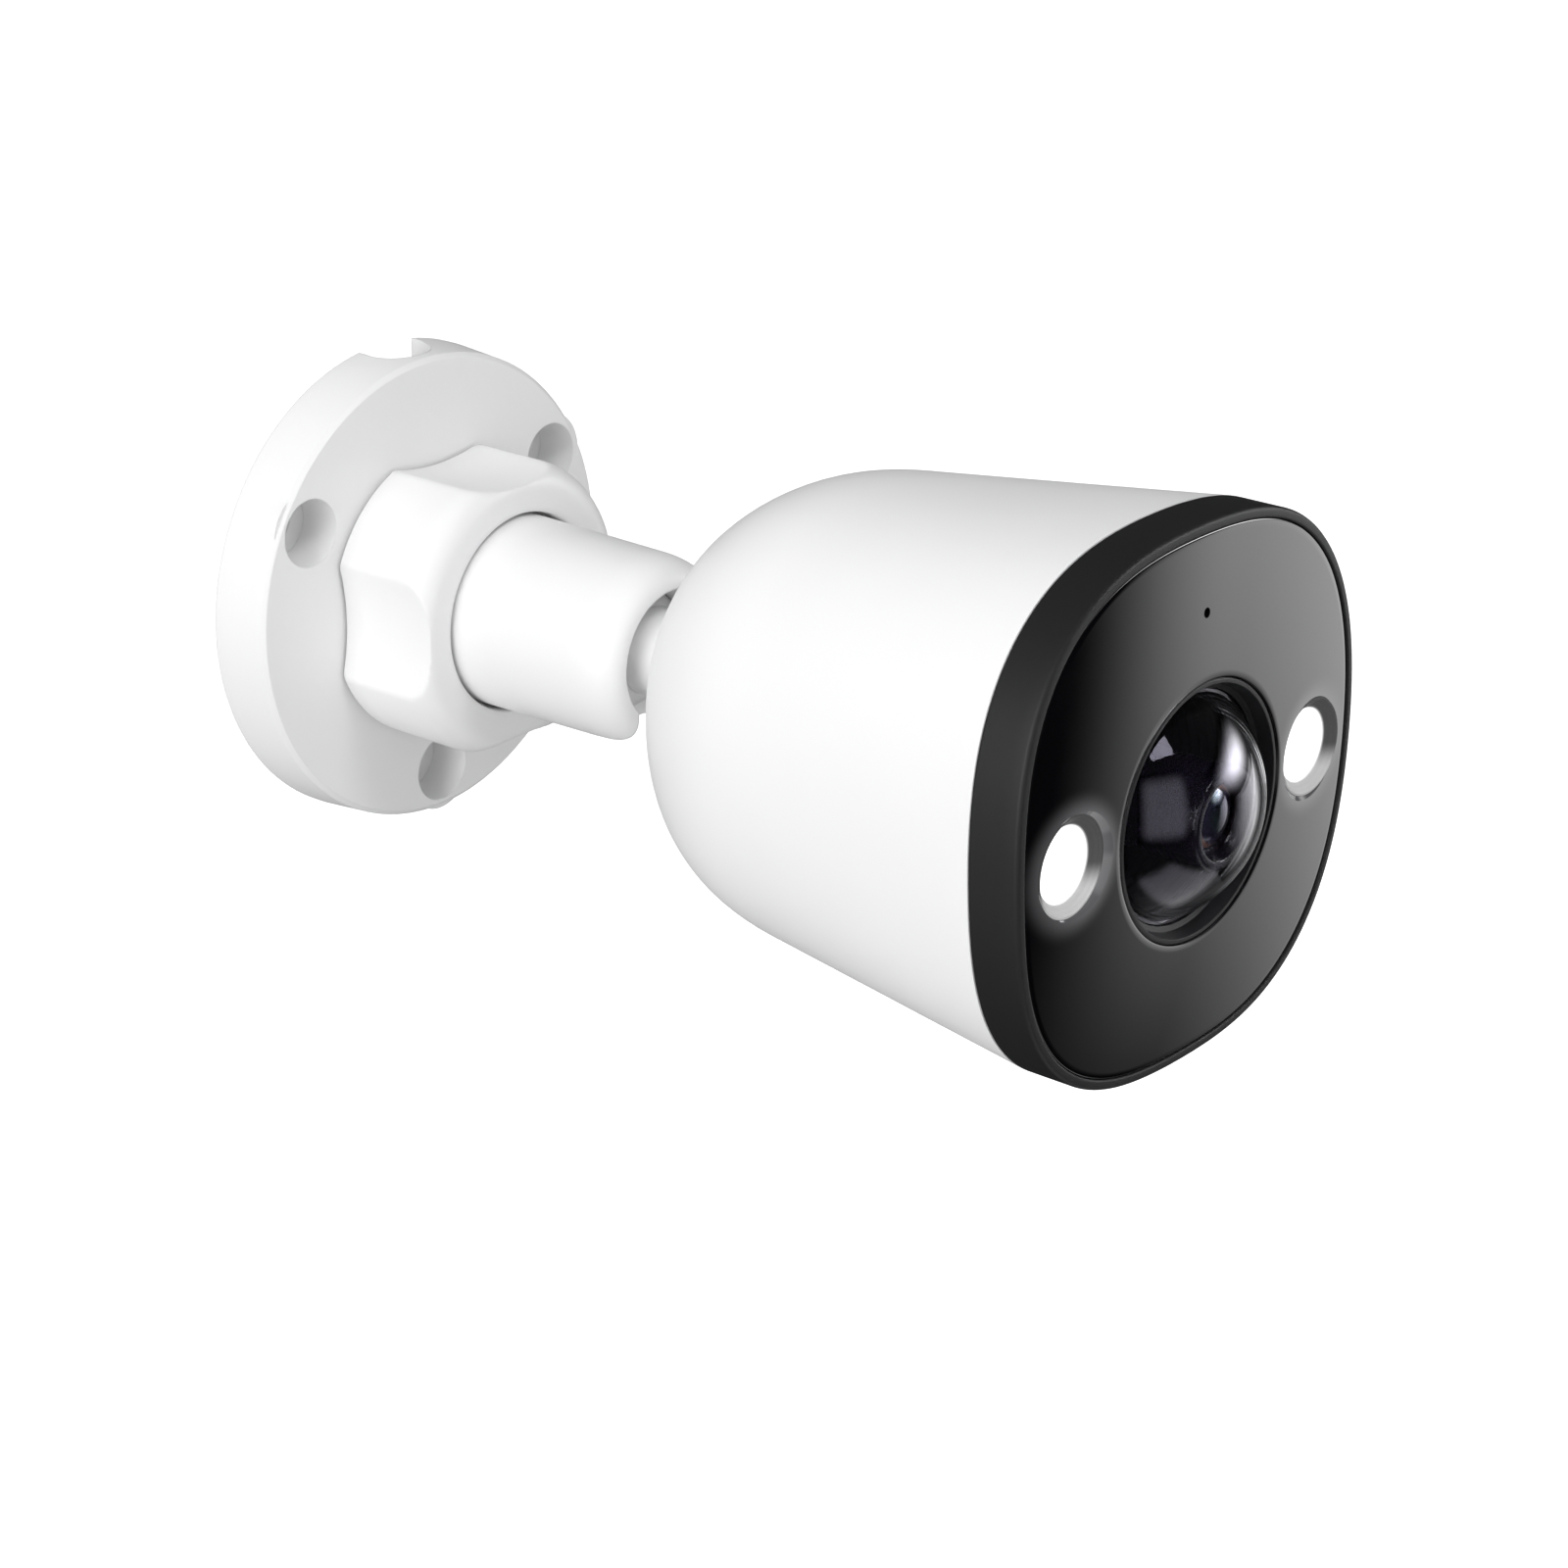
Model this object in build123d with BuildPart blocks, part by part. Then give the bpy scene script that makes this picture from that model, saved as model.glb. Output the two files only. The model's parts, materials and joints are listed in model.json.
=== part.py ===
from build123d import *

import os
from math import cos, pi, radians, sin, sqrt

# Security camera on a wall bracket, in millimetres, +Z up.
# The wall is the plane y = 0, the origin is the middle of the wall plate's back, and the camera looks
# along -Y. A "station" is a distance from the wall: station d is the plane y = -d.

# ---------------------------------------------------------------- driving dimensions
PLATE_RADIUS = 36.0            # front edge of the wall plate
PLATE_THICKNESS = 9.5
PLATE_WALL = 2.4
SCREW_CIRCLE = 29.65           # radius of the three wall-screw centres
SCREW_WELL_RADIUS = 5.15
SCREW_HOLE_RADIUS = 2.3
SCREW_FLOOR = 2.5              # material left under a wall-screw head
NOTCH_WIDTH = 11.0             # cable notch in the plate's rim, at the top
NOTCH_DEPTH = 7.4

BOSS_RADIUS = 18.95            # the threaded boss, its thread left as a plain cylinder
BOSS_BORE = 14.08
BOSS_END = 19.5
RUN = 0.06                     # radial clearance of a running fit

NUT_RADIUS = 22.6
NUT_START = 9.9
NUT_END = 27.5
NUT_HOLE = 15.2
NUT_SHOULDER = 24.0            # where the nut's front wall starts
NUT_SHOULDER_ROUND = 4.0       # radius of the nut's front edge
FLUTES = 4
FLUTE_RADIUS = 33.5
FLUTE_DEPTH = 3.1

ARM_RADIUS = 14.3
ARM_END = 57.5
ARM_BORE = 11.2
FLANGE_RADIUS = 17.5
MOUTH_RADIUS = 10.0
BALL_STATION = 44.5            # centre of the ball joint
BALL_RADIUS = 10.8
SLOT_HALF_WIDTH = 7.6          # slot under the arm's end that the neck swings down through
SLOT_STATION = 51.5            # centre of the slot's rounded end
NECK_RADIUS = 6.5
CABLE_BORE = 3.0

SHELL_REAR = 66.7              # flat at the tail of the body, where the neck's collar sits
SHELL_FRONT = 140.3
SHELL_WALL = 2.2
DOME_START = 95.7              # forward of here the body is a straight taper, behind it a dome
DOME_LENGTH = 29.7
DOME_POWER = 2.5               # superellipse power of the dome
TAPER = 0.0030                 # share of its size that the body loses for each millimetre back
ROUNDING = 0.63                # how far the section has turned into a circle at DOME_START
BODY_LIFT = 0.3                # how far the section has risen at DOME_START
FACE_MEAN = 39.8               # the face is a rounded square, given as a radius against angle
FACE_LIFT = 1.6                # wider above than below
FACE_OVAL = 0.4
FACE_SQUARE = 1.55
FACE_APEX = 149.8              # station of the front panel's middle
FACE_BULGE = 375.0             # radius of the panel's very flat dome
LIP_WIDTH = 1.5
LIP_RISE = 0.25

LENS_OPENING = 18.2
LENS_DOME_BASE = 15.6
LENS_DOME_APEX = 156.2
LENS_DOME_RADIUS = 17.5
GLASS = 1.2
SPOT_OFFSET = 27.7             # each light's distance from the middle
SPOT_HEIGHT = 0.8
SPOT_MOUTH = 7.1
SPOT_THROAT = 5.4
MIC_HEIGHT = 27.5

SCREW_SHAFT = 1.2
SCREW_CLEAR = 1.25

os.makedirs("parts", exist_ok=True)


# ---------------------------------------------------------------- geometry helpers
def station(distance: float) -> Plane:
    """The plane at a distance from the wall: local x is X, local y is Z, and its normal is -Y."""
    return Plane(origin=(0, -distance, 0), x_dir=(1, 0, 0), z_dir=(0, -1, 0))


TURNING_PLANE = Plane(origin=(0, 0, 0), x_dir=(1, 0, 0), z_dir=(0, 0, -1))


def turned(points: list, mode: Mode = Mode.ADD) -> None:
    """Turn a closed outline of (radius, station) points about the Y axis."""
    with BuildSketch(TURNING_PLANE) as outline:
        with BuildLine():
            Polyline(*points, close=True)
        make_face()
    revolve(outline.sketch, axis=Axis.Y, mode=mode)


def ring(inner: float, outer: float, start: float, end: float, mode: Mode = Mode.ADD) -> None:
    """A plain ring about the Y axis between two radii and two stations."""
    turned([(inner, start), (outer, start), (outer, end), (inner, end)], mode)


def cylinder_along_y(radius: float, start: float, end: float, places: list, mode: Mode = Mode.ADD) -> None:
    """Round bars or holes along Y between two stations, at (x, z) places."""
    with BuildSketch(station(start)) as discs:
        with Locations(*places):
            Circle(radius)
    extrude(discs.sketch, amount=end - start, mode=mode)


def cylinder_along_z(radius: float, bottom: float, top: float, places: list, mode: Mode = Mode.ADD) -> None:
    """Round bars or holes along Z between two heights, at (x, station) places."""
    with BuildSketch(Plane.XY.offset(bottom)) as discs:
        with Locations(*[(x, -distance) for x, distance in places]):
            Circle(radius)
    extrude(discs.sketch, amount=top - bottom, mode=mode)


def block(x: tuple, stations: tuple, z: tuple, mode: Mode = Mode.ADD) -> None:
    """A box given by its limits in x, its two stations and its limits in z."""
    centre = ((x[0] + x[1]) / 2, -(stations[0] + stations[1]) / 2, (z[0] + z[1]) / 2)
    with Locations(centre):
        Box(x[1] - x[0], stations[1] - stations[0], z[1] - z[0], mode=mode)


def face_radius(angle: float) -> float:
    """Radius of the camera's face at an angle from +X: a rounded square, narrower below."""
    return FACE_MEAN + FACE_LIFT * sin(angle) + FACE_OVAL * cos(2 * angle) - FACE_SQUARE * cos(4 * angle)


def outline_face(start: float, size: float = 1.0, rounding: float = 0.0, inset: float = 0.0,
                 lift: float = 0.0) -> Sketch:
    """The face outline at a station, scaled, turned towards a circle, inset and lifted."""
    steps = 24
    points = []
    for step in range(steps):
        angle = 2 * pi * step / steps
        radius = (face_radius(angle) * (1 - rounding) + FACE_MEAN * rounding) * size - inset
        points.append((radius * cos(angle), radius * sin(angle) + lift))
    with BuildSketch(station(start)) as section:
        with BuildLine():
            Spline(*points, periodic=True)
        make_face()
    return section.sketch


def body_section(distance: float, shape: float, inset: float, at: float) -> Sketch:
    """The body's section whose shape belongs to station `distance`, drawn at station `at`."""
    back = min((SHELL_FRONT - distance) / (SHELL_FRONT - DOME_START), 1)
    size = (1 - TAPER * (SHELL_FRONT - distance)) * shape
    return outline_face(at, size, ROUNDING * back, inset, BODY_LIFT * back)


def dome_sections(inset: float, rear: float) -> list:
    """Sections of the domed tail, from its flat to where the taper starts."""
    sections = []
    tail = (DOME_START - SHELL_REAR) / DOME_LENGTH
    steps = 10
    for step in range(steps, -1, -1):
        along = tail * sin(pi / 2 * step / steps)
        shape = (1 - along ** DOME_POWER) ** (1 / DOME_POWER)
        at = DOME_START - (DOME_START - rear) * along / tail
        sections.append(body_section(DOME_START - DOME_LENGTH * along, shape, inset, at))
    return sections


def taper_sections(inset: float, front: float) -> list:
    """The two ends of the straight taper."""
    return [body_section(DOME_START, 1, inset, DOME_START), body_section(front, 1, inset, front)]


def front_dome(apex: float) -> Part:
    """A very large ball whose foremost point is at a station, used to dome the front faces."""
    with BuildPart() as ball_form:
        with Locations((0, FACE_BULGE - apex, 0)):
            Sphere(FACE_BULGE)
    return ball_form.part


# ================================================================ wall bracket
with BuildPart() as wall_plate:
    turned([(0, 0), (36.6, 0), (36.6, 1.2), (PLATE_RADIUS, PLATE_THICKNESS - 0.7),
            (PLATE_RADIUS - 0.7, PLATE_THICKNESS), (0, PLATE_THICKNESS)])
    turned([(0, -1), (PLATE_RADIUS - PLATE_WALL, -1),
            (PLATE_RADIUS - PLATE_WALL, PLATE_THICKNESS - PLATE_WALL), (0, PLATE_THICKNESS - PLATE_WALL)],
           Mode.SUBTRACT)
    ring(BOSS_BORE - 3.1, BOSS_RADIUS, PLATE_THICKNESS - PLATE_WALL, BOSS_END)
    screw_places = [(SCREW_CIRCLE * cos(radians(a)), SCREW_CIRCLE * sin(radians(a))) for a in (30, 150, 270)]
    cylinder_along_y(SCREW_WELL_RADIUS + 1.6, 0, PLATE_THICKNESS - 0.5, screw_places)
    cylinder_along_y(SCREW_WELL_RADIUS, SCREW_FLOOR, PLATE_THICKNESS + 1, screw_places, Mode.SUBTRACT)
    cylinder_along_y(SCREW_HOLE_RADIUS, -1, SCREW_FLOOR + 1, screw_places, Mode.SUBTRACT)
    # two stiffening ribs between the hub and the rim
    for rib_angle in (210, 330):
        rib = (Plane(origin=(26 * cos(radians(rib_angle)), -4.4, 26 * sin(radians(rib_angle))),
                     x_dir=(cos(radians(rib_angle)), 0, sin(radians(rib_angle))), z_dir=(0, -1, 0)))
        with Locations(rib):
            Box(16, 1.6, 6)
    ring(BOSS_BORE - 3.1, BOSS_BORE + 1.4, 1.5, PLATE_THICKNESS - PLATE_WALL)
    # the hub's bore: a lip at the back, then the bearing for the arm's spigot
    turned([(0, -1), (BOSS_BORE - 3.08, -1), (BOSS_BORE - 3.08, PLATE_THICKNESS), (BOSS_BORE, PLATE_THICKNESS),
            (BOSS_BORE, BOSS_END + 1), (0, BOSS_END + 1)], Mode.SUBTRACT)
    # the cable's ways out: a notch with a round end in the rim, and a gap in the hub's back ring
    with BuildSketch(Plane.XY.offset(PLATE_RADIUS - 6)) as notch:
        with BuildLine():
            notch_side = NOTCH_DEPTH - NOTCH_WIDTH / 2
            Polyline((-NOTCH_WIDTH / 2, -notch_side), (-NOTCH_WIDTH / 2, 1), (NOTCH_WIDTH / 2, 1),
                     (NOTCH_WIDTH / 2, -notch_side))
            ThreePointArc((NOTCH_WIDTH / 2, -notch_side), (0, -NOTCH_DEPTH), (-NOTCH_WIDTH / 2, -notch_side))
        make_face()
    extrude(amount=10, mode=Mode.SUBTRACT)
    block((-5.5, 5.5), (0, 6.4), (8, 20), Mode.SUBTRACT)
    # drain hole under the rim
    cylinder_along_z(1.5, -38, -33, [(12, 4.5)], Mode.SUBTRACT)
wall_plate.part.label = "wall_plate"
export_step(wall_plate.part, "parts/wall_plate.step")

with BuildPart() as friction_washer:
    ring(BOSS_BORE + 0.3, FLANGE_RADIUS, BOSS_END, BOSS_END + 1.0)
friction_washer.part.label = "friction_washer"
export_step(friction_washer.part, "parts/friction_washer.step")

shoulder = [(NUT_RADIUS - NUT_SHOULDER_ROUND * (1 - sin(pi / 2 * k / 8)),
             NUT_END - NUT_SHOULDER_ROUND * (1 - cos(pi / 2 * k / 8))) for k in range(9)]
with BuildPart() as ring_nut:
    turned([(NUT_HOLE, NUT_SHOULDER), (NUT_HOLE, NUT_END - 0.5), (NUT_HOLE + 0.5, NUT_END),
            *shoulder, (NUT_RADIUS, NUT_START + 0.6), (NUT_RADIUS - 0.6, NUT_START),
            (BOSS_RADIUS + RUN, NUT_START), (BOSS_RADIUS + RUN, BOSS_END + 0.6), (FLANGE_RADIUS + 0.4, BOSS_END + 0.6),
            (FLANGE_RADIUS + 0.4, NUT_SHOULDER)])
    flute_centre = NUT_RADIUS - FLUTE_DEPTH + FLUTE_RADIUS
    flute_places = [(flute_centre * cos(2 * pi * k / FLUTES), flute_centre * sin(2 * pi * k / FLUTES))
                    for k in range(FLUTES)]
    cylinder_along_y(FLUTE_RADIUS, NUT_START - 1, NUT_END + 1, flute_places, Mode.SUBTRACT)
ring_nut.part.label = "ring_nut"
export_step(ring_nut.part, "parts/ring_nut.step")

with BuildPart() as slip_washer:
    ring(ARM_RADIUS + 0.7, FLANGE_RADIUS, NUT_SHOULDER - 0.7, NUT_SHOULDER - 0.05)
slip_washer.part.label = "slip_washer"
export_step(slip_washer.part, "parts/slip_washer.step")

FLANGE_START = BOSS_END + 1.1
FLANGE_END = NUT_SHOULDER - 0.8
LIP_RADIUS = 8.6               # front edge of the ball's seat
LIP_STATION = BALL_STATION + sqrt(BALL_RADIUS ** 2 - LIP_RADIUS ** 2)

with BuildPart() as arm:
    with BuildSketch(TURNING_PLANE):
        with BuildLine():
            outside = Polyline((ARM_BORE, 12), (BOSS_BORE - RUN, 12), (BOSS_BORE - RUN, FLANGE_START),
                               (FLANGE_RADIUS, FLANGE_START), (FLANGE_RADIUS, FLANGE_END),
                               (ARM_RADIUS + 0.4, FLANGE_END), (ARM_RADIUS, 50.0))
            nose = Bezier((ARM_RADIUS, 50.0), (ARM_RADIUS, 55.5), (MOUTH_RADIUS + 2.6, ARM_END),
                          (MOUTH_RADIUS + 0.3, ARM_END))
            Polyline((MOUTH_RADIUS + 0.3, ARM_END), (MOUTH_RADIUS, ARM_END - 0.3), (LIP_RADIUS, LIP_STATION + 0.2),
                     (LIP_RADIUS, BALL_STATION), (ARM_BORE, BALL_STATION), (ARM_BORE, 12))
        make_face()
    revolve(axis=Axis.Y)
    with Locations((0, -BALL_STATION, 0)):
        Sphere(BALL_RADIUS + 0.12, mode=Mode.SUBTRACT)
    # the slot that lets the neck swing down
    with BuildSketch(Plane.XY.offset(-ARM_RADIUS - 2)) as neck_slot:
        with Locations((0, -(SLOT_STATION + 10))):
            Rectangle(2 * SLOT_HALF_WIDTH, 20)
        with Locations((0, -SLOT_STATION)):
            Circle(SLOT_HALF_WIDTH)
    extrude(amount=ARM_RADIUS + 2, mode=Mode.SUBTRACT)
arm.part.label = "arm"
export_step(arm.part, "parts/arm.step")

SEAT_REAR = 31.0
with BuildPart() as ball_seat:
    ring(7.2, ARM_BORE - 0.05, SEAT_REAR, 41.5)
    with Locations((0, -BALL_STATION, 0)):
        Sphere(BALL_RADIUS + 0.12, mode=Mode.SUBTRACT)
ball_seat.part.label = "ball_seat"
export_step(ball_seat.part, "parts/ball_seat.step")

with BuildPart() as preload_ring:
    ring(7.6, ARM_BORE - 0.1, SEAT_REAR - 3.0, SEAT_REAR)
preload_ring.part.label = "preload_ring"
export_step(preload_ring.part, "parts/preload_ring.step")

with BuildPart() as seat_plug:
    ring(6.5, ARM_BORE, SEAT_REAR - 10.0, SEAT_REAR - 3.0)
    # two slots across the back for a pin spanner
    block((-12, 12), (SEAT_REAR - 11.0, SEAT_REAR - 8.4), (-1.2, 1.2), Mode.SUBTRACT)
seat_plug.part.label = "seat_plug"
export_step(seat_plug.part, "parts/seat_plug.step")

# ================================================================ ball joint
STEM_RADIUS = 4.5
BALL_FLAT = sqrt(BALL_RADIUS ** 2 - (NECK_RADIUS + 0.2) ** 2)   # how far the front flat is from the centre
BALL_BACK = 7.8
CLIP_POCKET = 3.0

with BuildPart() as ball:
    with Locations((0, -BALL_STATION, 0)):
        Sphere(BALL_RADIUS)
    block((-12, 12), (BALL_STATION + BALL_FLAT, BALL_STATION + 12), (-12, 12), Mode.SUBTRACT)
    block((-12, 12), (BALL_STATION - 12, BALL_STATION - BALL_BACK), (-12, 12), Mode.SUBTRACT)
    cylinder_along_y(STEM_RADIUS + RUN, BALL_STATION - 12, BALL_STATION + 12, [(0, 0)], Mode.SUBTRACT)
    cylinder_along_y(6.4, BALL_STATION - 12, BALL_STATION - BALL_BACK + CLIP_POCKET, [(0, 0)], Mode.SUBTRACT)
ball.part.label = "ball"
export_step(ball.part, "parts/ball.step")

NECK_START = BALL_STATION + BALL_FLAT + 0.12
STEM_END = BALL_STATION - BALL_BACK + 0.5
CLIP_START = BALL_STATION - BALL_BACK + CLIP_POCKET - 1.1
COLLAR_RADIUS = 9.0
NECK_THREAD = 6.0

with BuildPart() as neck:
    turned([(CABLE_BORE, STEM_END), (STEM_RADIUS, STEM_END), (STEM_RADIUS, CLIP_START - 0.02),
            (STEM_RADIUS - 0.5, CLIP_START - 0.02), (STEM_RADIUS - 0.5, CLIP_START + 1.02),
            (STEM_RADIUS, CLIP_START + 1.02), (STEM_RADIUS, NECK_START), (NECK_RADIUS, NECK_START),
            (NECK_RADIUS, SHELL_REAR - 3.4), (NECK_RADIUS + 0.7, SHELL_REAR - 2.3), (COLLAR_RADIUS - 0.4, SHELL_REAR - 1.7),
            (COLLAR_RADIUS, SHELL_REAR - 1.2), (COLLAR_RADIUS, SHELL_REAR), (8.1, SHELL_REAR),
            (8.1, SHELL_REAR - 0.6), (6.9, SHELL_REAR - 0.6), (6.9, SHELL_REAR), (NECK_THREAD, SHELL_REAR),
            (NECK_THREAD, 80), (CABLE_BORE, 80)])
neck.part.label = "neck"
export_step(neck.part, "parts/neck.step")

with BuildPart() as neck_clip:
    ring(STEM_RADIUS - 0.5, 6.2, CLIP_START, CLIP_START + 1.0)
    block((-2.6, 2.6), (CLIP_START - 1, CLIP_START + 2), (-8, 0), Mode.SUBTRACT)
neck_clip.part.label = "neck_clip"
export_step(neck_clip.part, "parts/neck_clip.step")

with BuildPart() as neck_seal:
    ring(6.9, 8.1, SHELL_REAR - 0.6, SHELL_REAR)
neck_seal.part.label = "neck_seal"
export_step(neck_seal.part, "parts/neck_seal.step")

# ================================================================ body shell
SHELL_BOSSES = [(25.7, 25.7), (-25.7, 25.7), (24.4, -24.4), (-24.4, -24.4)]
BOSS_TOP = 137.0
BOARD_POSTS = [(17, 17), (-17, 17), (17, -17), (-17, -17)]
BOARD_BACK = 95.4
BOARD_FRONT = 97.0
HATCH_X = 9.7
HATCH = (87.8, 106.2)
HATCH_LEDGE = -28.6
TUB_X = 8.0
TUB = (92.6, 101.6)
TUB_FLOOR = -24.8
TUB_TOP = -23.6
COVER_SCREWS = [(0, 90.3), (0, 103.7)]
CARD = (-1.6, 98.4)            # x and station of the memory card
BUTTON = (5.4, 94.6)           # x and station of the reset button
SPEAKER = 122.0                # station of the loudspeaker's axis, which is vertical
SPEAKER_RADIUS = 9.5

with BuildPart() as body_form:
    loft(dome_sections(0, SHELL_REAR))
    loft(taper_sections(0, SHELL_FRONT), ruled=True)

with BuildPart() as hatch_tub:
    add(body_form.part)
    block((-11.3, 11.3), (HATCH[0] - 1.5, HATCH[1] + 1.5), (-40, TUB_TOP), Mode.INTERSECT)

with BuildPart() as rear_shell:
    add(body_form.part)
    loft(dome_sections(SHELL_WALL, SHELL_REAR + 2.6), mode=Mode.SUBTRACT)
    loft(taper_sections(SHELL_WALL, SHELL_FRONT + 0.5), ruled=True, mode=Mode.SUBTRACT)
    ring(0, 11, SHELL_REAR + 1.5, SHELL_REAR + 4.6)
    cylinder_along_y(NECK_THREAD + 0.03, SHELL_REAR - 2, SHELL_REAR + 6, [(0, 0)], Mode.SUBTRACT)
    cylinder_along_y(3.2, 125, BOSS_TOP, SHELL_BOSSES)
    cylinder_along_y(SCREW_CLEAR, 128, BOSS_TOP + 1, SHELL_BOSSES, Mode.SUBTRACT)
    cylinder_along_y(2.7, 76.6, BOARD_BACK, BOARD_POSTS)
    cylinder_along_y(SCREW_CLEAR, 82, BOARD_BACK + 1, BOARD_POSTS, Mode.SUBTRACT)
    # service hatch: a tub under the belly, open downwards, with a ledge for the cover
    add(hatch_tub.part)
    block((-HATCH_X, HATCH_X), HATCH, (-40, HATCH_LEDGE), Mode.SUBTRACT)
    block((-TUB_X, TUB_X), TUB, (-30, TUB_FLOOR), Mode.SUBTRACT)
    cylinder_along_z(SCREW_CLEAR, -30, TUB_FLOOR, COVER_SCREWS, Mode.SUBTRACT)
    block((CARD[0] - 5.8, CARD[0] + 5.8), (CARD[1] - 0.8, CARD[1] + 0.8), (-26, -20), Mode.SUBTRACT)
    cylinder_along_z(1.58, -26, -20, [BUTTON], Mode.SUBTRACT)
    # loudspeaker: a seat ring inside, and a rosette of holes under it
    with BuildSketch(Plane.XY.offset(-33.1)) as speaker_seat:
        with Locations((0, -SPEAKER)):
            Circle(SPEAKER_RADIUS + 1.4)
            Circle(SPEAKER_RADIUS + 0.1, mode=Mode.SUBTRACT)
    extrude(amount=4.6)
    grille = [(0, SPEAKER)] + [(4.2 * cos(radians(a)), SPEAKER + 4.2 * sin(radians(a))) for a in range(0, 360, 60)]
    cylinder_along_z(0.8, -40, -30, grille, Mode.SUBTRACT)
rear_shell.part.label = "rear_shell"
export_step(rear_shell.part, "parts/rear_shell.step")

with BuildPart() as neck_washer:
    ring(NECK_THREAD + 0.1, 9.4, SHELL_REAR + 4.6, SHELL_REAR + 5.6)
neck_washer.part.label = "neck_washer"
export_step(neck_washer.part, "parts/neck_washer.step")

with BuildPart() as neck_nut:
    with BuildSketch(station(SHELL_REAR + 5.6)):
        RegularPolygon(radius=9, side_count=6)
        Circle(NECK_THREAD, mode=Mode.SUBTRACT)
    extrude(amount=4.5)
neck_nut.part.label = "neck_nut"
export_step(neck_nut.part, "parts/neck_nut.step")

# ---------------------------------------------------------------- service hatch pieces
COVER_BACK = HATCH_LEDGE - 0.6

with BuildPart() as access_cover:
    add(body_form.part)
    block((-HATCH_X + 0.15, HATCH_X - 0.15), (HATCH[0] + 0.15, HATCH[1] - 0.15), (-40, COVER_BACK), Mode.INTERSECT)
    cylinder_along_z(SCREW_CLEAR, -40, -28, COVER_SCREWS, Mode.SUBTRACT)
    cylinder_along_z(2.2, -40, -30.4, COVER_SCREWS, Mode.SUBTRACT)
access_cover.part.label = "access_cover"
export_step(access_cover.part, "parts/access_cover.step")

with BuildPart() as access_gasket:
    block((-TUB_X - 1.3, TUB_X + 1.3), (TUB[0] - 0.7, TUB[1] + 0.7), (COVER_BACK, HATCH_LEDGE))
    block((-TUB_X - 0.1, TUB_X + 0.1), (TUB[0] + 0.1, TUB[1] - 0.1), (COVER_BACK - 1, HATCH_LEDGE + 1), Mode.SUBTRACT)
access_gasket.part.label = "access_gasket"
export_step(access_gasket.part, "parts/access_gasket.step")

with BuildPart() as cover_screws:
    cylinder_along_z(SCREW_SHAFT, -30.5, -25.2, COVER_SCREWS)
    cylinder_along_z(2.05, -31.5, -30.42, COVER_SCREWS)
    for screw_x, screw_station in COVER_SCREWS:
        block((screw_x - 1.4, screw_x + 1.4), (screw_station - 0.3, screw_station + 0.3), (-32, -31.0), Mode.SUBTRACT)
        block((screw_x - 0.3, screw_x + 0.3), (screw_station - 1.4, screw_station + 1.4), (-32, -31.0), Mode.SUBTRACT)
cover_screws.part.label = "cover_screws"
export_step(cover_screws.part, "parts/cover_screws.step")

with BuildPart() as reset_button:
    cylinder_along_z(1.5, -26.6, -23.1, [BUTTON])
    cylinder_along_z(2.1, -23.5, -23.1, [BUTTON])
reset_button.part.label = "reset_button"
export_step(reset_button.part, "parts/reset_button.step")

with BuildPart() as reset_switch:
    block((BUTTON[0] - 2.4, BUTTON[0] + 2.4), (BOARD_BACK - 2.6, BOARD_BACK), (-22.4, -19.4))
reset_switch.part.label = "reset_switch"
export_step(reset_switch.part, "parts/reset_switch.step")

with BuildPart() as card_socket:
    block((CARD[0] - 6.8, CARD[0] + 6.8), (BOARD_FRONT, BOARD_FRONT + 2.6), (-22.3, -8.3))
    block((CARD[0] - 5.7, CARD[0] + 5.7), (CARD[1] - 0.6, CARD[1] + 0.6), (-23, -10.2), Mode.SUBTRACT)
card_socket.part.label = "card_socket"
export_step(card_socket.part, "parts/card_socket.step")

with BuildPart() as memory_card:
    block((CARD[0] - 5.5, CARD[0] + 5.5), (CARD[1] - 0.5, CARD[1] + 0.5), (-25.6, -10.6))
memory_card.part.label = "memory_card"
export_step(memory_card.part, "parts/memory_card.step")

# ---------------------------------------------------------------- boards and chassis
CHASSIS_BACK = 103.0
CHASSIS_FRONT = 105.0
SENSOR_BACK = 107.0
SENSOR_FRONT = 108.2

with BuildPart() as main_board:
    with BuildSketch(station(BOARD_BACK)):
        Circle(28)
        with Locations((0, -32.5)):
            Rectangle(60, 20, mode=Mode.SUBTRACT)
        with Locations(*BOARD_POSTS):
            Circle(SCREW_CLEAR, mode=Mode.SUBTRACT)
    extrude(amount=BOARD_FRONT - BOARD_BACK)
main_board.part.label = "main_board"
export_step(main_board.part, "parts/main_board.step")

with BuildPart() as board_chips:
    block((-6, 6), (BOARD_FRONT, BOARD_FRONT + 1.4), (0, 12))
    block((8.5, 13.5), (BOARD_FRONT, BOARD_FRONT + 1.2), (-2, 9))
    block((-14, -8.5), (BOARD_FRONT, BOARD_FRONT + 3.2), (2, 9))
    block((-20, -13), (BOARD_BACK - 6, BOARD_BACK), (-6, 6))
    block((12, 22), (BOARD_BACK - 5, BOARD_BACK), (-5, 3))
    cylinder_along_y(3.2, BOARD_BACK - 9, BOARD_BACK, [(-5, 16), (5, 16)])
board_chips.part.label = "board_chips"
export_step(board_chips.part, "parts/board_chips.step")

with BuildPart() as heat_pad:
    block((-6, 6), (BOARD_FRONT + 1.4, CHASSIS_BACK - 1.5), (0, 12))
heat_pad.part.label = "heat_pad"
export_step(heat_pad.part, "parts/heat_pad.step")

with BuildPart() as heat_spreader:
    block((-12, 12), (CHASSIS_BACK - 1.5, CHASSIS_BACK), (-4, 18))
heat_spreader.part.label = "heat_spreader"
export_step(heat_spreader.part, "parts/heat_spreader.step")

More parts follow.
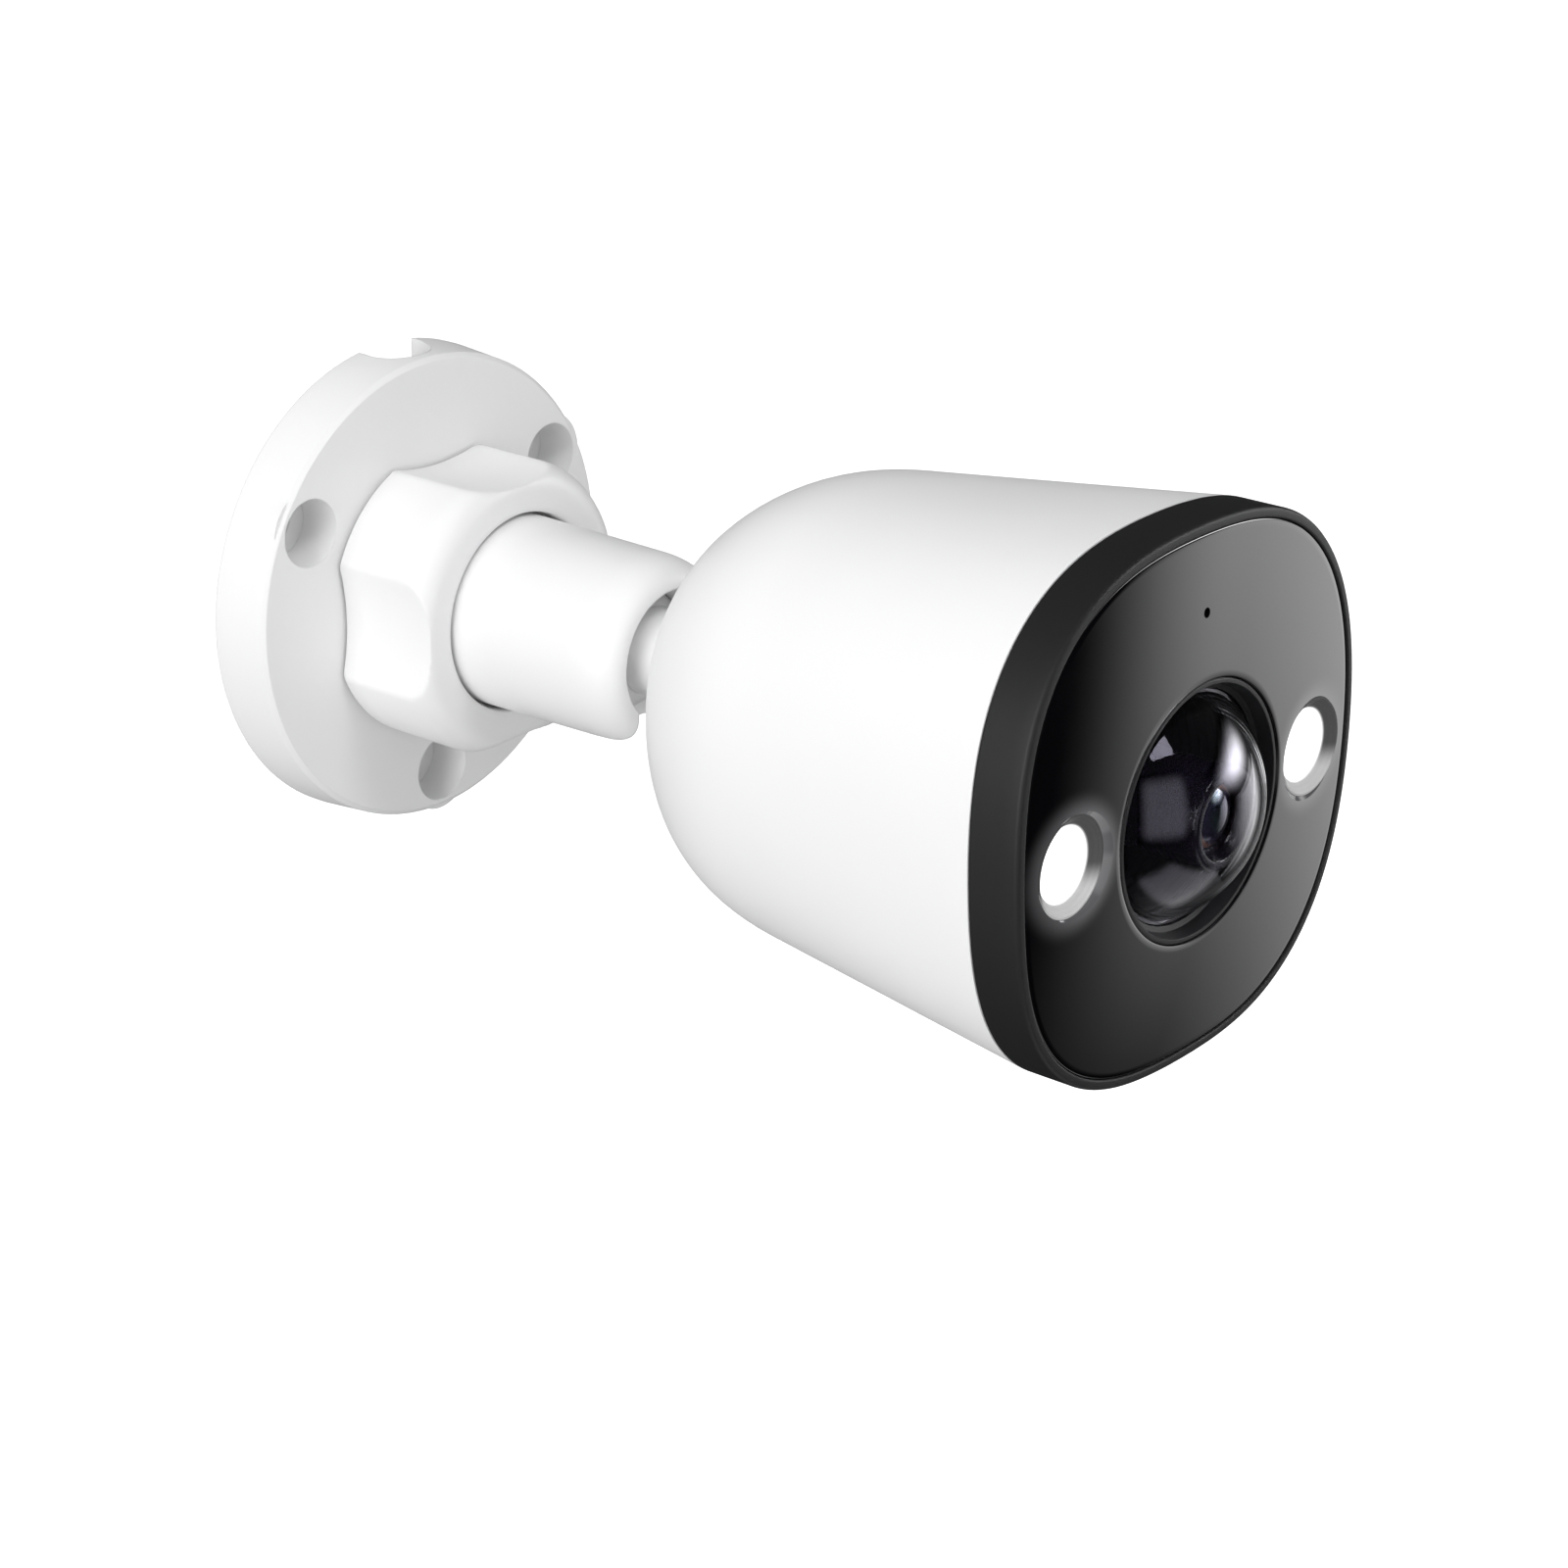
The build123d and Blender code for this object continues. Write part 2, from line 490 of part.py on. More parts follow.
SENSOR_POSTS = [(12, 12), (-12, 12), (12, -12), (-12, -12)]
with BuildPart() as chassis:
    with BuildSketch(station(CHASSIS_BACK)):
        Circle(28.5)
        with Locations((0, -32.5)):
            Rectangle(60, 20, mode=Mode.SUBTRACT)
        with Locations((0, -14)):
            Rectangle(16, 8, mode=Mode.SUBTRACT)
    extrude(amount=CHASSIS_FRONT - CHASSIS_BACK)
    cylinder_along_y(2.6, BOARD_FRONT, CHASSIS_BACK, BOARD_POSTS)
    cylinder_along_y(2.4, CHASSIS_FRONT, SENSOR_BACK, SENSOR_POSTS)
    cylinder_along_y(SCREW_CLEAR, BOARD_FRONT - 1, CHASSIS_FRONT + 1, BOARD_POSTS, Mode.SUBTRACT)
    cylinder_along_y(0.85, CHASSIS_FRONT - 1.5, SENSOR_BACK + 1, SENSOR_POSTS, Mode.SUBTRACT)
chassis.part.label = "chassis"
export_step(chassis.part, "parts/chassis.step")

with BuildPart() as chassis_screws:
    cylinder_along_y(SCREW_SHAFT, 83, CHASSIS_FRONT, BOARD_POSTS)
    cylinder_along_y(2.2, CHASSIS_FRONT, CHASSIS_FRONT + 1.7, BOARD_POSTS)
chassis_screws.part.label = "chassis_screws"
export_step(chassis_screws.part, "parts/chassis_screws.step")

with BuildPart() as sensor_board:
    with BuildSketch(station(SENSOR_BACK)):
        RectangleRounded(30, 30, 2)
        with Locations(*SENSOR_POSTS):
            Circle(0.85, mode=Mode.SUBTRACT)
    extrude(amount=SENSOR_FRONT - SENSOR_BACK)
sensor_board.part.label = "sensor_board"
export_step(sensor_board.part, "parts/sensor_board.step")

with BuildPart() as image_sensor:
    block((-5, 5), (SENSOR_FRONT, SENSOR_FRONT + 1.2), (-4, 4))
image_sensor.part.label = "image_sensor"
export_step(image_sensor.part, "parts/image_sensor.step")

# ---------------------------------------------------------------- night filter and lens
HOLDER_FRONT = 117.4
FILTER_TRAVEL = 7.0
FILTER_PLANE = (113.2, 114.2)

with BuildPart() as lens_holder:
    block((-14, 14), (SENSOR_FRONT, HOLDER_FRONT), (-10.4, 10.4))
    cylinder_along_y(11, HOLDER_FRONT, 127, [(0, 0)])
    block((-6.5, 6.5), (SENSOR_FRONT - 1, 112.8), (-5.5, 5.5), Mode.SUBTRACT)
    block((-11.7, 11.7), (112.8, 114.7), (-5.2, 5.2), Mode.SUBTRACT)
    cylinder_along_y(6.4, 114, HOLDER_FRONT + 0.6, [(0, 0)], Mode.SUBTRACT)
    cylinder_along_y(9.03, HOLDER_FRONT + 0.6, 128, [(0, 0)], Mode.SUBTRACT)
    # screw clearance in the four corners
    block((-15, -9.6), (SENSOR_FRONT - 1, HOLDER_FRONT - 6), (9.6, 11), Mode.SUBTRACT)
    block((9.6, 15), (SENSOR_FRONT - 1, HOLDER_FRONT - 6), (9.6, 11), Mode.SUBTRACT)
    block((-15, -9.6), (SENSOR_FRONT - 1, HOLDER_FRONT - 6), (-11, -9.6), Mode.SUBTRACT)
    block((9.6, 15), (SENSOR_FRONT - 1, HOLDER_FRONT - 6), (-11, -9.6), Mode.SUBTRACT)
lens_holder.part.label = "lens_holder"
export_step(lens_holder.part, "parts/lens_holder.step")

with BuildPart() as filter_carrier:
    block((-4.2, 11.2), FILTER_PLANE, (-4.6, 4.6))
    for window in (0, FILTER_TRAVEL):
        block((window - 2.8, window + 2.8), (FILTER_PLANE[0] - 1, FILTER_PLANE[1] + 1), (-3.2, 3.2), Mode.SUBTRACT)
filter_carrier.part.label = "filter_carrier"
export_step(filter_carrier.part, "parts/filter_carrier.step")

with BuildPart() as infrared_filter:
    block((-2.8, 2.8), (FILTER_PLANE[0] + 0.2, FILTER_PLANE[1] - 0.2), (-3.2, 3.2))
infrared_filter.part.label = "infrared_filter"
export_step(infrared_filter.part, "parts/infrared_filter.step")

with BuildPart() as clear_filter:
    block((FILTER_TRAVEL - 2.8, FILTER_TRAVEL + 2.8), (FILTER_PLANE[0] + 0.2, FILTER_PLANE[1] - 0.2), (-3.2, 3.2))
clear_filter.part.label = "clear_filter"
export_step(clear_filter.part, "parts/clear_filter.step")

with BuildPart() as filter_motor:
    block((-5, 5), (109.6, 116.6), (10.4, 15.4))
filter_motor.part.label = "filter_motor"
export_step(filter_motor.part, "parts/filter_motor.step")

with BuildPart() as sensor_screws:
    cylinder_along_y(0.8, CHASSIS_FRONT - 1.2, SENSOR_FRONT, SENSOR_POSTS)
    cylinder_along_y(1.5, SENSOR_FRONT, SENSOR_FRONT + 0.9, SENSOR_POSTS)
sensor_screws.part.label = "sensor_screws"
export_step(sensor_screws.part, "parts/sensor_screws.step")

BARREL_FRONT = 153.0
ELEMENT_SEAT = BARREL_FRONT - 2.3      # where the front element's rim stops in the barrel
ELEMENT_BACK = ELEMENT_SEAT - 4.0
ELEMENT_APEX = ELEMENT_SEAT + 1.7
with BuildPart() as lens_barrel:
    turned([(6.2, 118.2), (9.0, 118.2), (9.0, 136.5), (7.0, 138.0), (7.0, BARREL_FRONT - 0.4), (6.6, BARREL_FRONT),
            (5.6, BARREL_FRONT), (4.7, BARREL_FRONT - 1.3), (4.7, ELEMENT_SEAT), (6.2, ELEMENT_SEAT)])
lens_barrel.part.label = "lens_barrel"
export_step(lens_barrel.part, "parts/lens_barrel.step")

with BuildPart() as front_element:
    with BuildSketch(TURNING_PLANE):
        with BuildLine():
            Polyline((4.6, ELEMENT_SEAT), (6.15, ELEMENT_SEAT), (6.15, ELEMENT_BACK), (0, ELEMENT_BACK),
                     (0, ELEMENT_APEX))
            ThreePointArc((0, ELEMENT_APEX), (2.5, ELEMENT_APEX - 0.45), (4.6, ELEMENT_SEAT))
        make_face()
    revolve(axis=Axis.Y)
front_element.part.label = "front_element"
export_step(front_element.part, "parts/front_element.step")

with BuildPart() as lens_spacer:
    ring(4.6, 6.15, 125.0, ELEMENT_BACK)
lens_spacer.part.label = "lens_spacer"
export_step(lens_spacer.part, "parts/lens_spacer.step")

with BuildPart() as rear_element:
    turned([(0, 121.0), (4.2, 121.0), (6.15, 121.9), (6.15, 125.0), (0, 125.0)])
rear_element.part.label = "rear_element"
export_step(rear_element.part, "parts/rear_element.step")

# ================================================================ front
PANEL_BACK = 145.8
LEDGE_BACK = 143.4
CUP_FRONT = PANEL_BACK
DOME_SEAT = 145.0

with BuildPart() as lens_cup:
    turned([(14.4, 129.0), (17.5, 129.0), (17.5, 139.0), (19.6, 139.0), (19.6, CUP_FRONT), (16.1, CUP_FRONT),
            (16.1, DOME_SEAT - 0.7), (14.4, DOME_SEAT - 0.7)])
    ring(9.1, 17.5, 128.0, 130.0)
lens_cup.part.label = "lens_cup"
export_step(lens_cup.part, "parts/lens_cup.step")

with BuildPart() as dome_seal:
    ring(14.9, 16.05, DOME_SEAT - 0.7, DOME_SEAT)
dome_seal.part.label = "dome_seal"
export_step(dome_seal.part, "parts/dome_seal.step")

DOME_CENTRE = LENS_DOME_APEX - LENS_DOME_RADIUS
DOME_SHOULDER = DOME_CENTRE + sqrt(LENS_DOME_RADIUS ** 2 - LENS_DOME_BASE ** 2)
INNER_RADIUS = LENS_DOME_RADIUS - GLASS
INNER_BASE = sqrt(INNER_RADIUS ** 2 - (DOME_SEAT - DOME_CENTRE) ** 2)


def dome_point(radius: float, angle: float) -> tuple:
    """A point of the lens dome's profile at an angle from its axis."""
    return radius * sin(radians(angle)), DOME_CENTRE + radius * cos(radians(angle))


with BuildPart() as lens_dome:
    with BuildSketch(TURNING_PLANE):
        with BuildLine():
            ThreePointArc(dome_point(LENS_DOME_RADIUS, 0), dome_point(LENS_DOME_RADIUS, 24),
                          (LENS_DOME_BASE, DOME_SHOULDER))
            Polyline((LENS_DOME_BASE, DOME_SHOULDER), (16.0, DOME_SHOULDER), (16.0, DOME_SEAT), (INNER_BASE, DOME_SEAT))
            ThreePointArc((INNER_BASE, DOME_SEAT), dome_point(INNER_RADIUS, 24), dome_point(INNER_RADIUS, 0))
            Line(dome_point(INNER_RADIUS, 0), dome_point(LENS_DOME_RADIUS, 0))
        make_face()
    revolve(axis=Axis.Y)
lens_dome.part.label = "lens_dome"
export_step(lens_dome.part, "parts/lens_dome.step")

RING_FRONT = FACE_APEX - LENS_OPENING ** 2 / (2 * FACE_BULGE) - 0.1
with BuildPart() as lens_ring:
    turned([(16.2, PANEL_BACK), (LENS_OPENING - 0.08, PANEL_BACK), (LENS_OPENING - 0.08, RING_FRONT - 0.2),
            (LENS_OPENING - 0.3, RING_FRONT), (LENS_OPENING - 0.8, RING_FRONT), (16.9, 147.2), (16.2, 147.0)])
lens_ring.part.label = "lens_ring"
export_step(lens_ring.part, "parts/lens_ring.step")

spot_places = [(-SPOT_OFFSET, SPOT_HEIGHT), (SPOT_OFFSET, SPOT_HEIGHT)]
THROAT_STATION = 146.9

with BuildPart() as front_panel:
    extrude(outline_face(PANEL_BACK, inset=LIP_WIDTH + 0.08), amount=6)
    add(front_dome(FACE_APEX), mode=Mode.INTERSECT)
    cylinder_along_y(LENS_OPENING, PANEL_BACK - 1, FACE_APEX + 2, [(0, 0)], Mode.SUBTRACT)
    cylinder_along_y(SPOT_THROAT, PANEL_BACK - 1, FACE_APEX + 2, spot_places, Mode.SUBTRACT)
    with Locations(*[(x, -THROAT_STATION, z) for x, z in spot_places]):
        Cone(SPOT_THROAT, SPOT_THROAT + 2.0, 2.2, rotation=(90, 0, 0), align=(Align.CENTER, Align.CENTER, Align.MIN),
             mode=Mode.SUBTRACT)
    cylinder_along_y(0.7, PANEL_BACK - 1, FACE_APEX + 2, [(0, MIC_HEIGHT)], Mode.SUBTRACT)
front_panel.part.label = "front_panel"
export_step(front_panel.part, "parts/front_panel.step")

with BuildPart() as panel_tape:
    extrude(outline_face(PANEL_BACK - 0.4, inset=LIP_WIDTH + 0.3), amount=0.4)
    extrude(outline_face(PANEL_BACK - 0.4, inset=4.4), amount=0.4, mode=Mode.SUBTRACT)
panel_tape.part.label = "panel_tape"
export_step(panel_tape.part, "parts/panel_tape.step")

with BuildPart() as bezel:
    extrude(outline_face(SHELL_FRONT), amount=12)
    add(front_dome(FACE_APEX + LIP_RISE), mode=Mode.INTERSECT)
    extrude(outline_face(PANEL_BACK - 0.4, inset=LIP_WIDTH), amount=10, mode=Mode.SUBTRACT)
    extrude(outline_face(LEDGE_BACK, inset=4.5), amount=10, mode=Mode.SUBTRACT)
    extrude(outline_face(SHELL_FRONT - 1, inset=2.6), amount=LEDGE_BACK - SHELL_FRONT + 1, mode=Mode.SUBTRACT)
    # tongue that enters the shell
    extrude(outline_face(SHELL_FRONT - 1.9, inset=2.45), amount=2.7)
    extrude(outline_face(SHELL_FRONT - 2.5, inset=3.6), amount=3.4, mode=Mode.SUBTRACT)
    # four lugs for the screws into the shell's bosses
    cylinder_along_y(3.4, 139.1, 141.2, SHELL_BOSSES)
    cylinder_along_y(SCREW_CLEAR + 0.1, 138, 142, SHELL_BOSSES, Mode.SUBTRACT)
bezel.part.label = "bezel"
export_step(bezel.part, "parts/bezel.step")

with BuildPart() as front_frame:
    extrude(outline_face(BOSS_TOP, inset=3.9), amount=2.0)
    cylinder_along_y(17.6, BOSS_TOP - 1, BOSS_TOP + 3, [(0, 0)], Mode.SUBTRACT)
    cylinder_along_y(SCREW_CLEAR + 0.1, BOSS_TOP - 1, BOSS_TOP + 3, SHELL_BOSSES, Mode.SUBTRACT)
front_frame.part.label = "front_frame"
export_step(front_frame.part, "parts/front_frame.step")

with BuildPart() as bezel_screws:
    cylinder_along_y(SCREW_SHAFT, 129, 141.2, SHELL_BOSSES)
    cylinder_along_y(2.2, 141.2, 142.8, SHELL_BOSSES)
bezel_screws.part.label = "bezel_screws"
export_step(bezel_screws.part, "parts/bezel_screws.step")

with BuildPart() as shell_seal:
    extrude(outline_face(BOSS_TOP + 0.9, inset=2.75), amount=0.5)
    extrude(outline_face(BOSS_TOP + 0.9, inset=3.6), amount=0.5, mode=Mode.SUBTRACT)
shell_seal.part.label = "shell_seal"
export_step(shell_seal.part, "parts/shell_seal.step")

# ---------------------------------------------------------------- lights and microphone
LIGHT_BOARD = 139.0
with BuildPart() as light_boards:
    for x, z in spot_places:
        block((x - 6.2, x + 6.2), (LIGHT_BOARD, LIGHT_BOARD + 1.2), (z - 7, z + 7))
light_boards.part.label = "light_boards"
export_step(light_boards.part, "parts/light_boards.step")

with BuildPart() as light_chips:
    for x, z in spot_places:
        block((x - 1.75, x + 1.75), (LIGHT_BOARD + 1.2, LIGHT_BOARD + 2.0), (z - 1.75, z + 1.75))
light_chips.part.label = "light_chips"
export_step(light_chips.part, "parts/light_chips.step")

with BuildPart() as light_lenses:
    cylinder_along_y(5.9, LIGHT_BOARD + 1.3, PANEL_BACK, spot_places)
    cylinder_along_y(SPOT_THROAT - 0.1, PANEL_BACK, THROAT_STATION, spot_places)
    cylinder_along_y(2.8, LIGHT_BOARD + 1, LIGHT_BOARD + 3.0, spot_places, Mode.SUBTRACT)
light_lenses.part.label = "light_lenses"
export_step(light_lenses.part, "parts/light_lenses.step")

with BuildPart() as microphone:
    cylinder_along_y(2.6, LIGHT_BOARD, LIGHT_BOARD + 3.4, [(0, MIC_HEIGHT)])
microphone.part.label = "microphone"
export_step(microphone.part, "parts/microphone.step")

with BuildPart() as mic_sleeve:
    cylinder_along_y(3.6, LIGHT_BOARD, PANEL_BACK, [(0, MIC_HEIGHT)])
    cylinder_along_y(2.6, LIGHT_BOARD - 1, LIGHT_BOARD + 3.4, [(0, MIC_HEIGHT)], Mode.SUBTRACT)
    cylinder_along_y(0.9, LIGHT_BOARD, PANEL_BACK + 1, [(0, MIC_HEIGHT)], Mode.SUBTRACT)
mic_sleeve.part.label = "mic_sleeve"
export_step(mic_sleeve.part, "parts/mic_sleeve.step")

# ---------------------------------------------------------------- loudspeaker and aerials
with BuildPart() as loudspeaker:
    cylinder_along_z(SPEAKER_RADIUS, -31.0, -28.4, [(0, SPEAKER)])
    cylinder_along_z(5.5, -28.4, -26.0, [(0, SPEAKER)])
loudspeaker.part.label = "loudspeaker"
export_step(loudspeaker.part, "parts/loudspeaker.step")

with BuildPart() as aerials:
    block((29.4, 30.2), (107, 131), (-5, 5))
    block((-30.2, -29.4), (107, 131), (-5, 5))
aerials.part.label = "aerials"
export_step(aerials.part, "parts/aerials.step")
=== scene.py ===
"""The looks of a small outdoor security camera on a wall bracket.

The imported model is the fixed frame: it holds every place and size. Each sub-assembly below is a class
that refines or rebuilds its pieces on that frame and gives them their finish. The lengths of pieces,
finishes and the view point are written in millimetres and turned into metres by MM where a mesh or a
node needs them. The studio's own are in metres. A station is a distance from the wall, so that station
d is the plane y = -d.
"""

from __future__ import annotations

import json
import logging
import math
from dataclasses import dataclass
from enum import Enum
from typing import Any, Callable, Iterable, Sequence

import bmesh
import bpy
from mathutils import Matrix, Vector

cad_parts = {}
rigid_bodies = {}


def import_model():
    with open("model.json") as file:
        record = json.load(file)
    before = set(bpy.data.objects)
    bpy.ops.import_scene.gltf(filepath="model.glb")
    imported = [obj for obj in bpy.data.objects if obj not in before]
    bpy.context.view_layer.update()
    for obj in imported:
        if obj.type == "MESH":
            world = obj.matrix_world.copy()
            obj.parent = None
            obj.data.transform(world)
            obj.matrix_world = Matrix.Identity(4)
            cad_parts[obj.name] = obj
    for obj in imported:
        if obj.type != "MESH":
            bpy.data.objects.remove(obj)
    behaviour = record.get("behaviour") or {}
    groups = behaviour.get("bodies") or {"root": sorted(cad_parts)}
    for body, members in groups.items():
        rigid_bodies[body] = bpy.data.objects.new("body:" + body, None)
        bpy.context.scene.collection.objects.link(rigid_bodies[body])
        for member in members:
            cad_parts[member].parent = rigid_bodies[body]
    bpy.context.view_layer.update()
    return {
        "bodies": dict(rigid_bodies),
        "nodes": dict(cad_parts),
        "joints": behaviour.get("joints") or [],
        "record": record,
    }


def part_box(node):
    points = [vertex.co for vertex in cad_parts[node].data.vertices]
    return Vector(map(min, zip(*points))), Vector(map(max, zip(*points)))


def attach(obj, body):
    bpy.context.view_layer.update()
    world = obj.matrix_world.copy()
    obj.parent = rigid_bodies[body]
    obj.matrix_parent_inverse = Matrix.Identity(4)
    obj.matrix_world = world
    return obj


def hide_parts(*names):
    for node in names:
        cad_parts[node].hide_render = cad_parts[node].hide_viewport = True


MM = 0.001
SPOT_OFFSET = 27.7  # from the middle to each light window, in millimetres
SPOT_HEIGHT = 0.8
MERGE = 1e-7  # points nearer than this are one, in metres
CAD_SEAM = 2e-6  # the same across the seams of a CAD node's mesh
LOG = logging.getLogger("security_camera")
Colour = tuple[float, float, float, float]
Outline = Sequence[tuple[float, float]]


# ---------------------------------------------------------------- node graphs
def _operator(operation: str, reflected: bool = False) -> Callable[[Value, Value | float], Value]:
    """Return the method of an arithmetic operator.

    Args:
        operation: The Math node's operation.
        reflected: Whether the other operand comes first.

    Returns:
        The method, which adds the node.
    """
    def method(self: Value, other: Value | float) -> Value:
        """Return the result of the two operands."""
        return self.graph.math(operation, *((other, self) if reflected else (self, other)))

    return method


class Value:
    """A number socket of a node tree that Python arithmetic can be written on."""

    def __init__(self, graph: Graph, socket: bpy.types.NodeSocket) -> None:
        """Keep the socket and the graph that new Math nodes go into."""
        self.graph = graph
        self.socket = socket

    __add__, __radd__ = _operator("ADD"), _operator("ADD", True)
    __sub__, __rsub__ = _operator("SUBTRACT"), _operator("SUBTRACT", True)
    __mul__, __rmul__ = _operator("MULTIPLY"), _operator("MULTIPLY", True)
    __truediv__, __rtruediv__ = _operator("DIVIDE"), _operator("DIVIDE", True)
    __pow__ = _operator("POWER")

    def step(self, low: float, high: float) -> Value:
        """Return 0 below low, 1 above high and a smooth rise between them."""
        ranged = self.graph.node("ShaderNodeMapRange", {"interpolation_type": "SMOOTHSTEP"},
                                 {"Value": self, "From Min": low, "From Max": high})
        return Value(self.graph, ranged.outputs["Result"])


class Graph:
    """A node tree of a material, the world or a geometry rule, with one way to add a node."""

    def __init__(self, tree: bpy.types.NodeTree) -> None:
        """Keep the tree that nodes are added to."""
        self.tree = tree

    def node(self, kind: str, settings: dict[str, Any] | None = None,
             sockets: dict[str | int, Any] | None = None) -> bpy.types.Node:
        """Add a node.

        Args:
            kind: The node's type name.
            settings: Its own settings, set first. "stops" fills a ramp with (place, colour) pairs.
            sockets: Input name or number to a value, a socket, a Value, or a list of sockets.

        Returns:
            The new node.
        """
        made = self.tree.nodes.new(kind)
        for name, setting in (settings or {}).items():
            if name == "stops":
                self._fill_ramp(made.color_ramp, setting)
            else:
                setattr(made, name, setting)
        for key, value in (sockets or {}).items():
            for item in value if isinstance(value, list) else [value]:
                self._plug(made.inputs[key], item)
        return made

    def _plug(self, socket: bpy.types.NodeSocket, item: Any) -> None:
        """Link an input socket to another socket, or set its value."""
        if isinstance(item, Value):
            item = item.socket
        if isinstance(item, bpy.types.NodeSocket):
            self.tree.links.new(item, socket)
        else:
            socket.default_value = item

    @staticmethod
    def _fill_ramp(ramp: bpy.types.ColorRamp, stops: Sequence[tuple[float, Colour]]) -> None:
        """Give a colour ramp its stops."""
        while len(ramp.elements) < len(stops):
            ramp.elements.new(0.5)
        for element, (place, colour) in zip(ramp.elements, stops):
            element.position = place
            element.color = colour

    def math(self, operation: str, *values: Value | float) -> Value:
        """Add a Math node and return its result."""
        made = self.node("ShaderNodeMath", {"operation": operation}, dict(enumerate(values)))
        return Value(self, made.outputs[0])

    def number(self, node: bpy.types.Node, key: str | int = 0) -> Value:
        """Return one output of a node as a Value."""
        return Value(self, node.outputs[key])

    def place(self) -> bpy.types.NodeSocket:
        """Return the object coordinates, in metres in the shared frame."""
        return self.node("ShaderNodeTexCoord").outputs["Object"]

    def axes(self, vector: bpy.types.NodeSocket) -> tuple[Value, Value, Value]:
        """Return the three numbers of a vector."""
        parts = self.node("ShaderNodeSeparateXYZ", None, {0: vector})
        return self.number(parts, 0), self.number(parts, 1), self.number(parts, 2)

    def vector(self, x: Value | float, y: Value | float, z: Value | float) -> bpy.types.NodeSocket:
        """Return a vector made of three numbers."""
        return self.node("ShaderNodeCombineXYZ", None, {0: x, 1: y, 2: z}).outputs[0]

    def noise(self, size: float, detail: float = 2.0, place: bpy.types.NodeSocket | None = None) -> Value:
        """Return a noise from 0 to 1 whose blotches are `size` millimetres across."""
        made = self.node("ShaderNodeTexNoise", None,
                         {"Vector": place or self.place(), "Scale": 1 / (size * MM), "Detail": detail})
        return self.number(made, "Fac")

    def blend(self, share: Value | float, first: Any, second: Any) -> bpy.types.NodeSocket:
        """Return a colour between two colours."""
        made = self.node("ShaderNodeMix", {"data_type": "RGBA"}, {0: share, 6: first, 7: second})
        return made.outputs[2]

    def ramp(self, value: Value, stops: Sequence[tuple[float, Colour]]) -> bpy.types.NodeSocket:
        """Return the colour that a ramp gives a number."""
        return self.node("ShaderNodeValToRGB", {"stops": stops}, {"Fac": value}).outputs["Color"]

    def points(self) -> tuple[Value, Value, Value]:
        """Return the three coordinates of a geometry's points."""
        return self.axes(self.node("GeometryNodeInputPosition").outputs[0])

    def moved(self, geometry: bpy.types.NodeSocket, *place: Value) -> bpy.types.NodeSocket:
        """Return a geometry with its points moved to new coordinates."""
        made = self.node("GeometryNodeSetPosition", None, {
            "Geometry": geometry, "Position": self.vector(*place)})
        return made.outputs[0]

    def away(self, x: Value, z: Value) -> Value:
        """Return the distance from an axis along Y, for x and z measured from it."""
        return self.math("SQRT", x * x + z * z)

    def output(self, shader: bpy.types.NodeSocket) -> None:
        """Make a shader the surface of the material."""
        self.node("ShaderNodeOutputMaterial", None, {"Surface": shader})

    def surface(self, sockets: dict[str, Any]) -> bpy.types.NodeSocket:
        """Return the shader of a Principled node with these inputs."""
        return self.node("ShaderNodeBsdfPrincipled", None, sockets).outputs["BSDF"]

    def bump(self, height: Value, depth: float, edge: float = 0.0) -> bpy.types.NodeSocket:
        """Return a normal bent by a height map.

        Args:
            height: The map, from 0 to 1.
            depth: What 1 stands for, in millimetres.
            edge: How far sharp edges are softened, in millimetres.

        Returns:
            The normal.
        """
        sockets = {"Height": height, "Distance": depth * MM, "Strength": 1.0}
        if edge:
            softened = self.node("ShaderNodeBevel", {"samples": 6}, {"Radius": edge * MM})
            sockets["Normal"] = softened.outputs["Normal"]
        return self.node("ShaderNodeBump", None, sockets).outputs["Normal"]


# ---------------------------------------------------------------- finishes
class Slot(Enum):
    """The record's material slots."""

    WHITE = "white_plastic"
    BLACK = "black_plastic"
    PANEL = "gloss_panel"
    RUBBER = "rubber"
    CLEAR = "clear_glass"
    LIGHT = "light_optic"
    BOARD = "circuit_board"
    CHIP = "chip_package"
    STEEL = "steel"
    ALUMINIUM = "aluminium"
    BRASS = "brass"
    PHOSPHOR = "phosphor"
    WASHER = "white_washer"
    BALL = "black_ball"
    PAD = "heat_pad"
    SENSOR = "sensor"
    INFRARED = "infrared_glass"
    BARREL = "barrel_black"
    COATED = "coated_glass"
    RING = "ring_black"


def empty_material(name: str) -> tuple[bpy.types.Material, Graph]:
    """Return a new material and the graph of its empty tree."""
    made = bpy.data.materials.new(name)
    made.use_nodes = True
    made.node_tree.nodes.clear()
    return made, Graph(made.node_tree)


@dataclass(frozen=True)
class Finish:
    """What every finish shares: a name and a material built once from its own nodes."""

    name: str

    def material(self) -> bpy.types.Material:
        """Return the finish's material, making it the first time."""
        found = bpy.data.materials.get(self.name)
        if found:
            return found
        made, graph = empty_material(self.name)
        graph.output(self.shade(graph))
        return made

    def shade(self, graph: Graph) -> bpy.types.NodeSocket:
        """Return the shader of the finish."""
        raise NotImplementedError


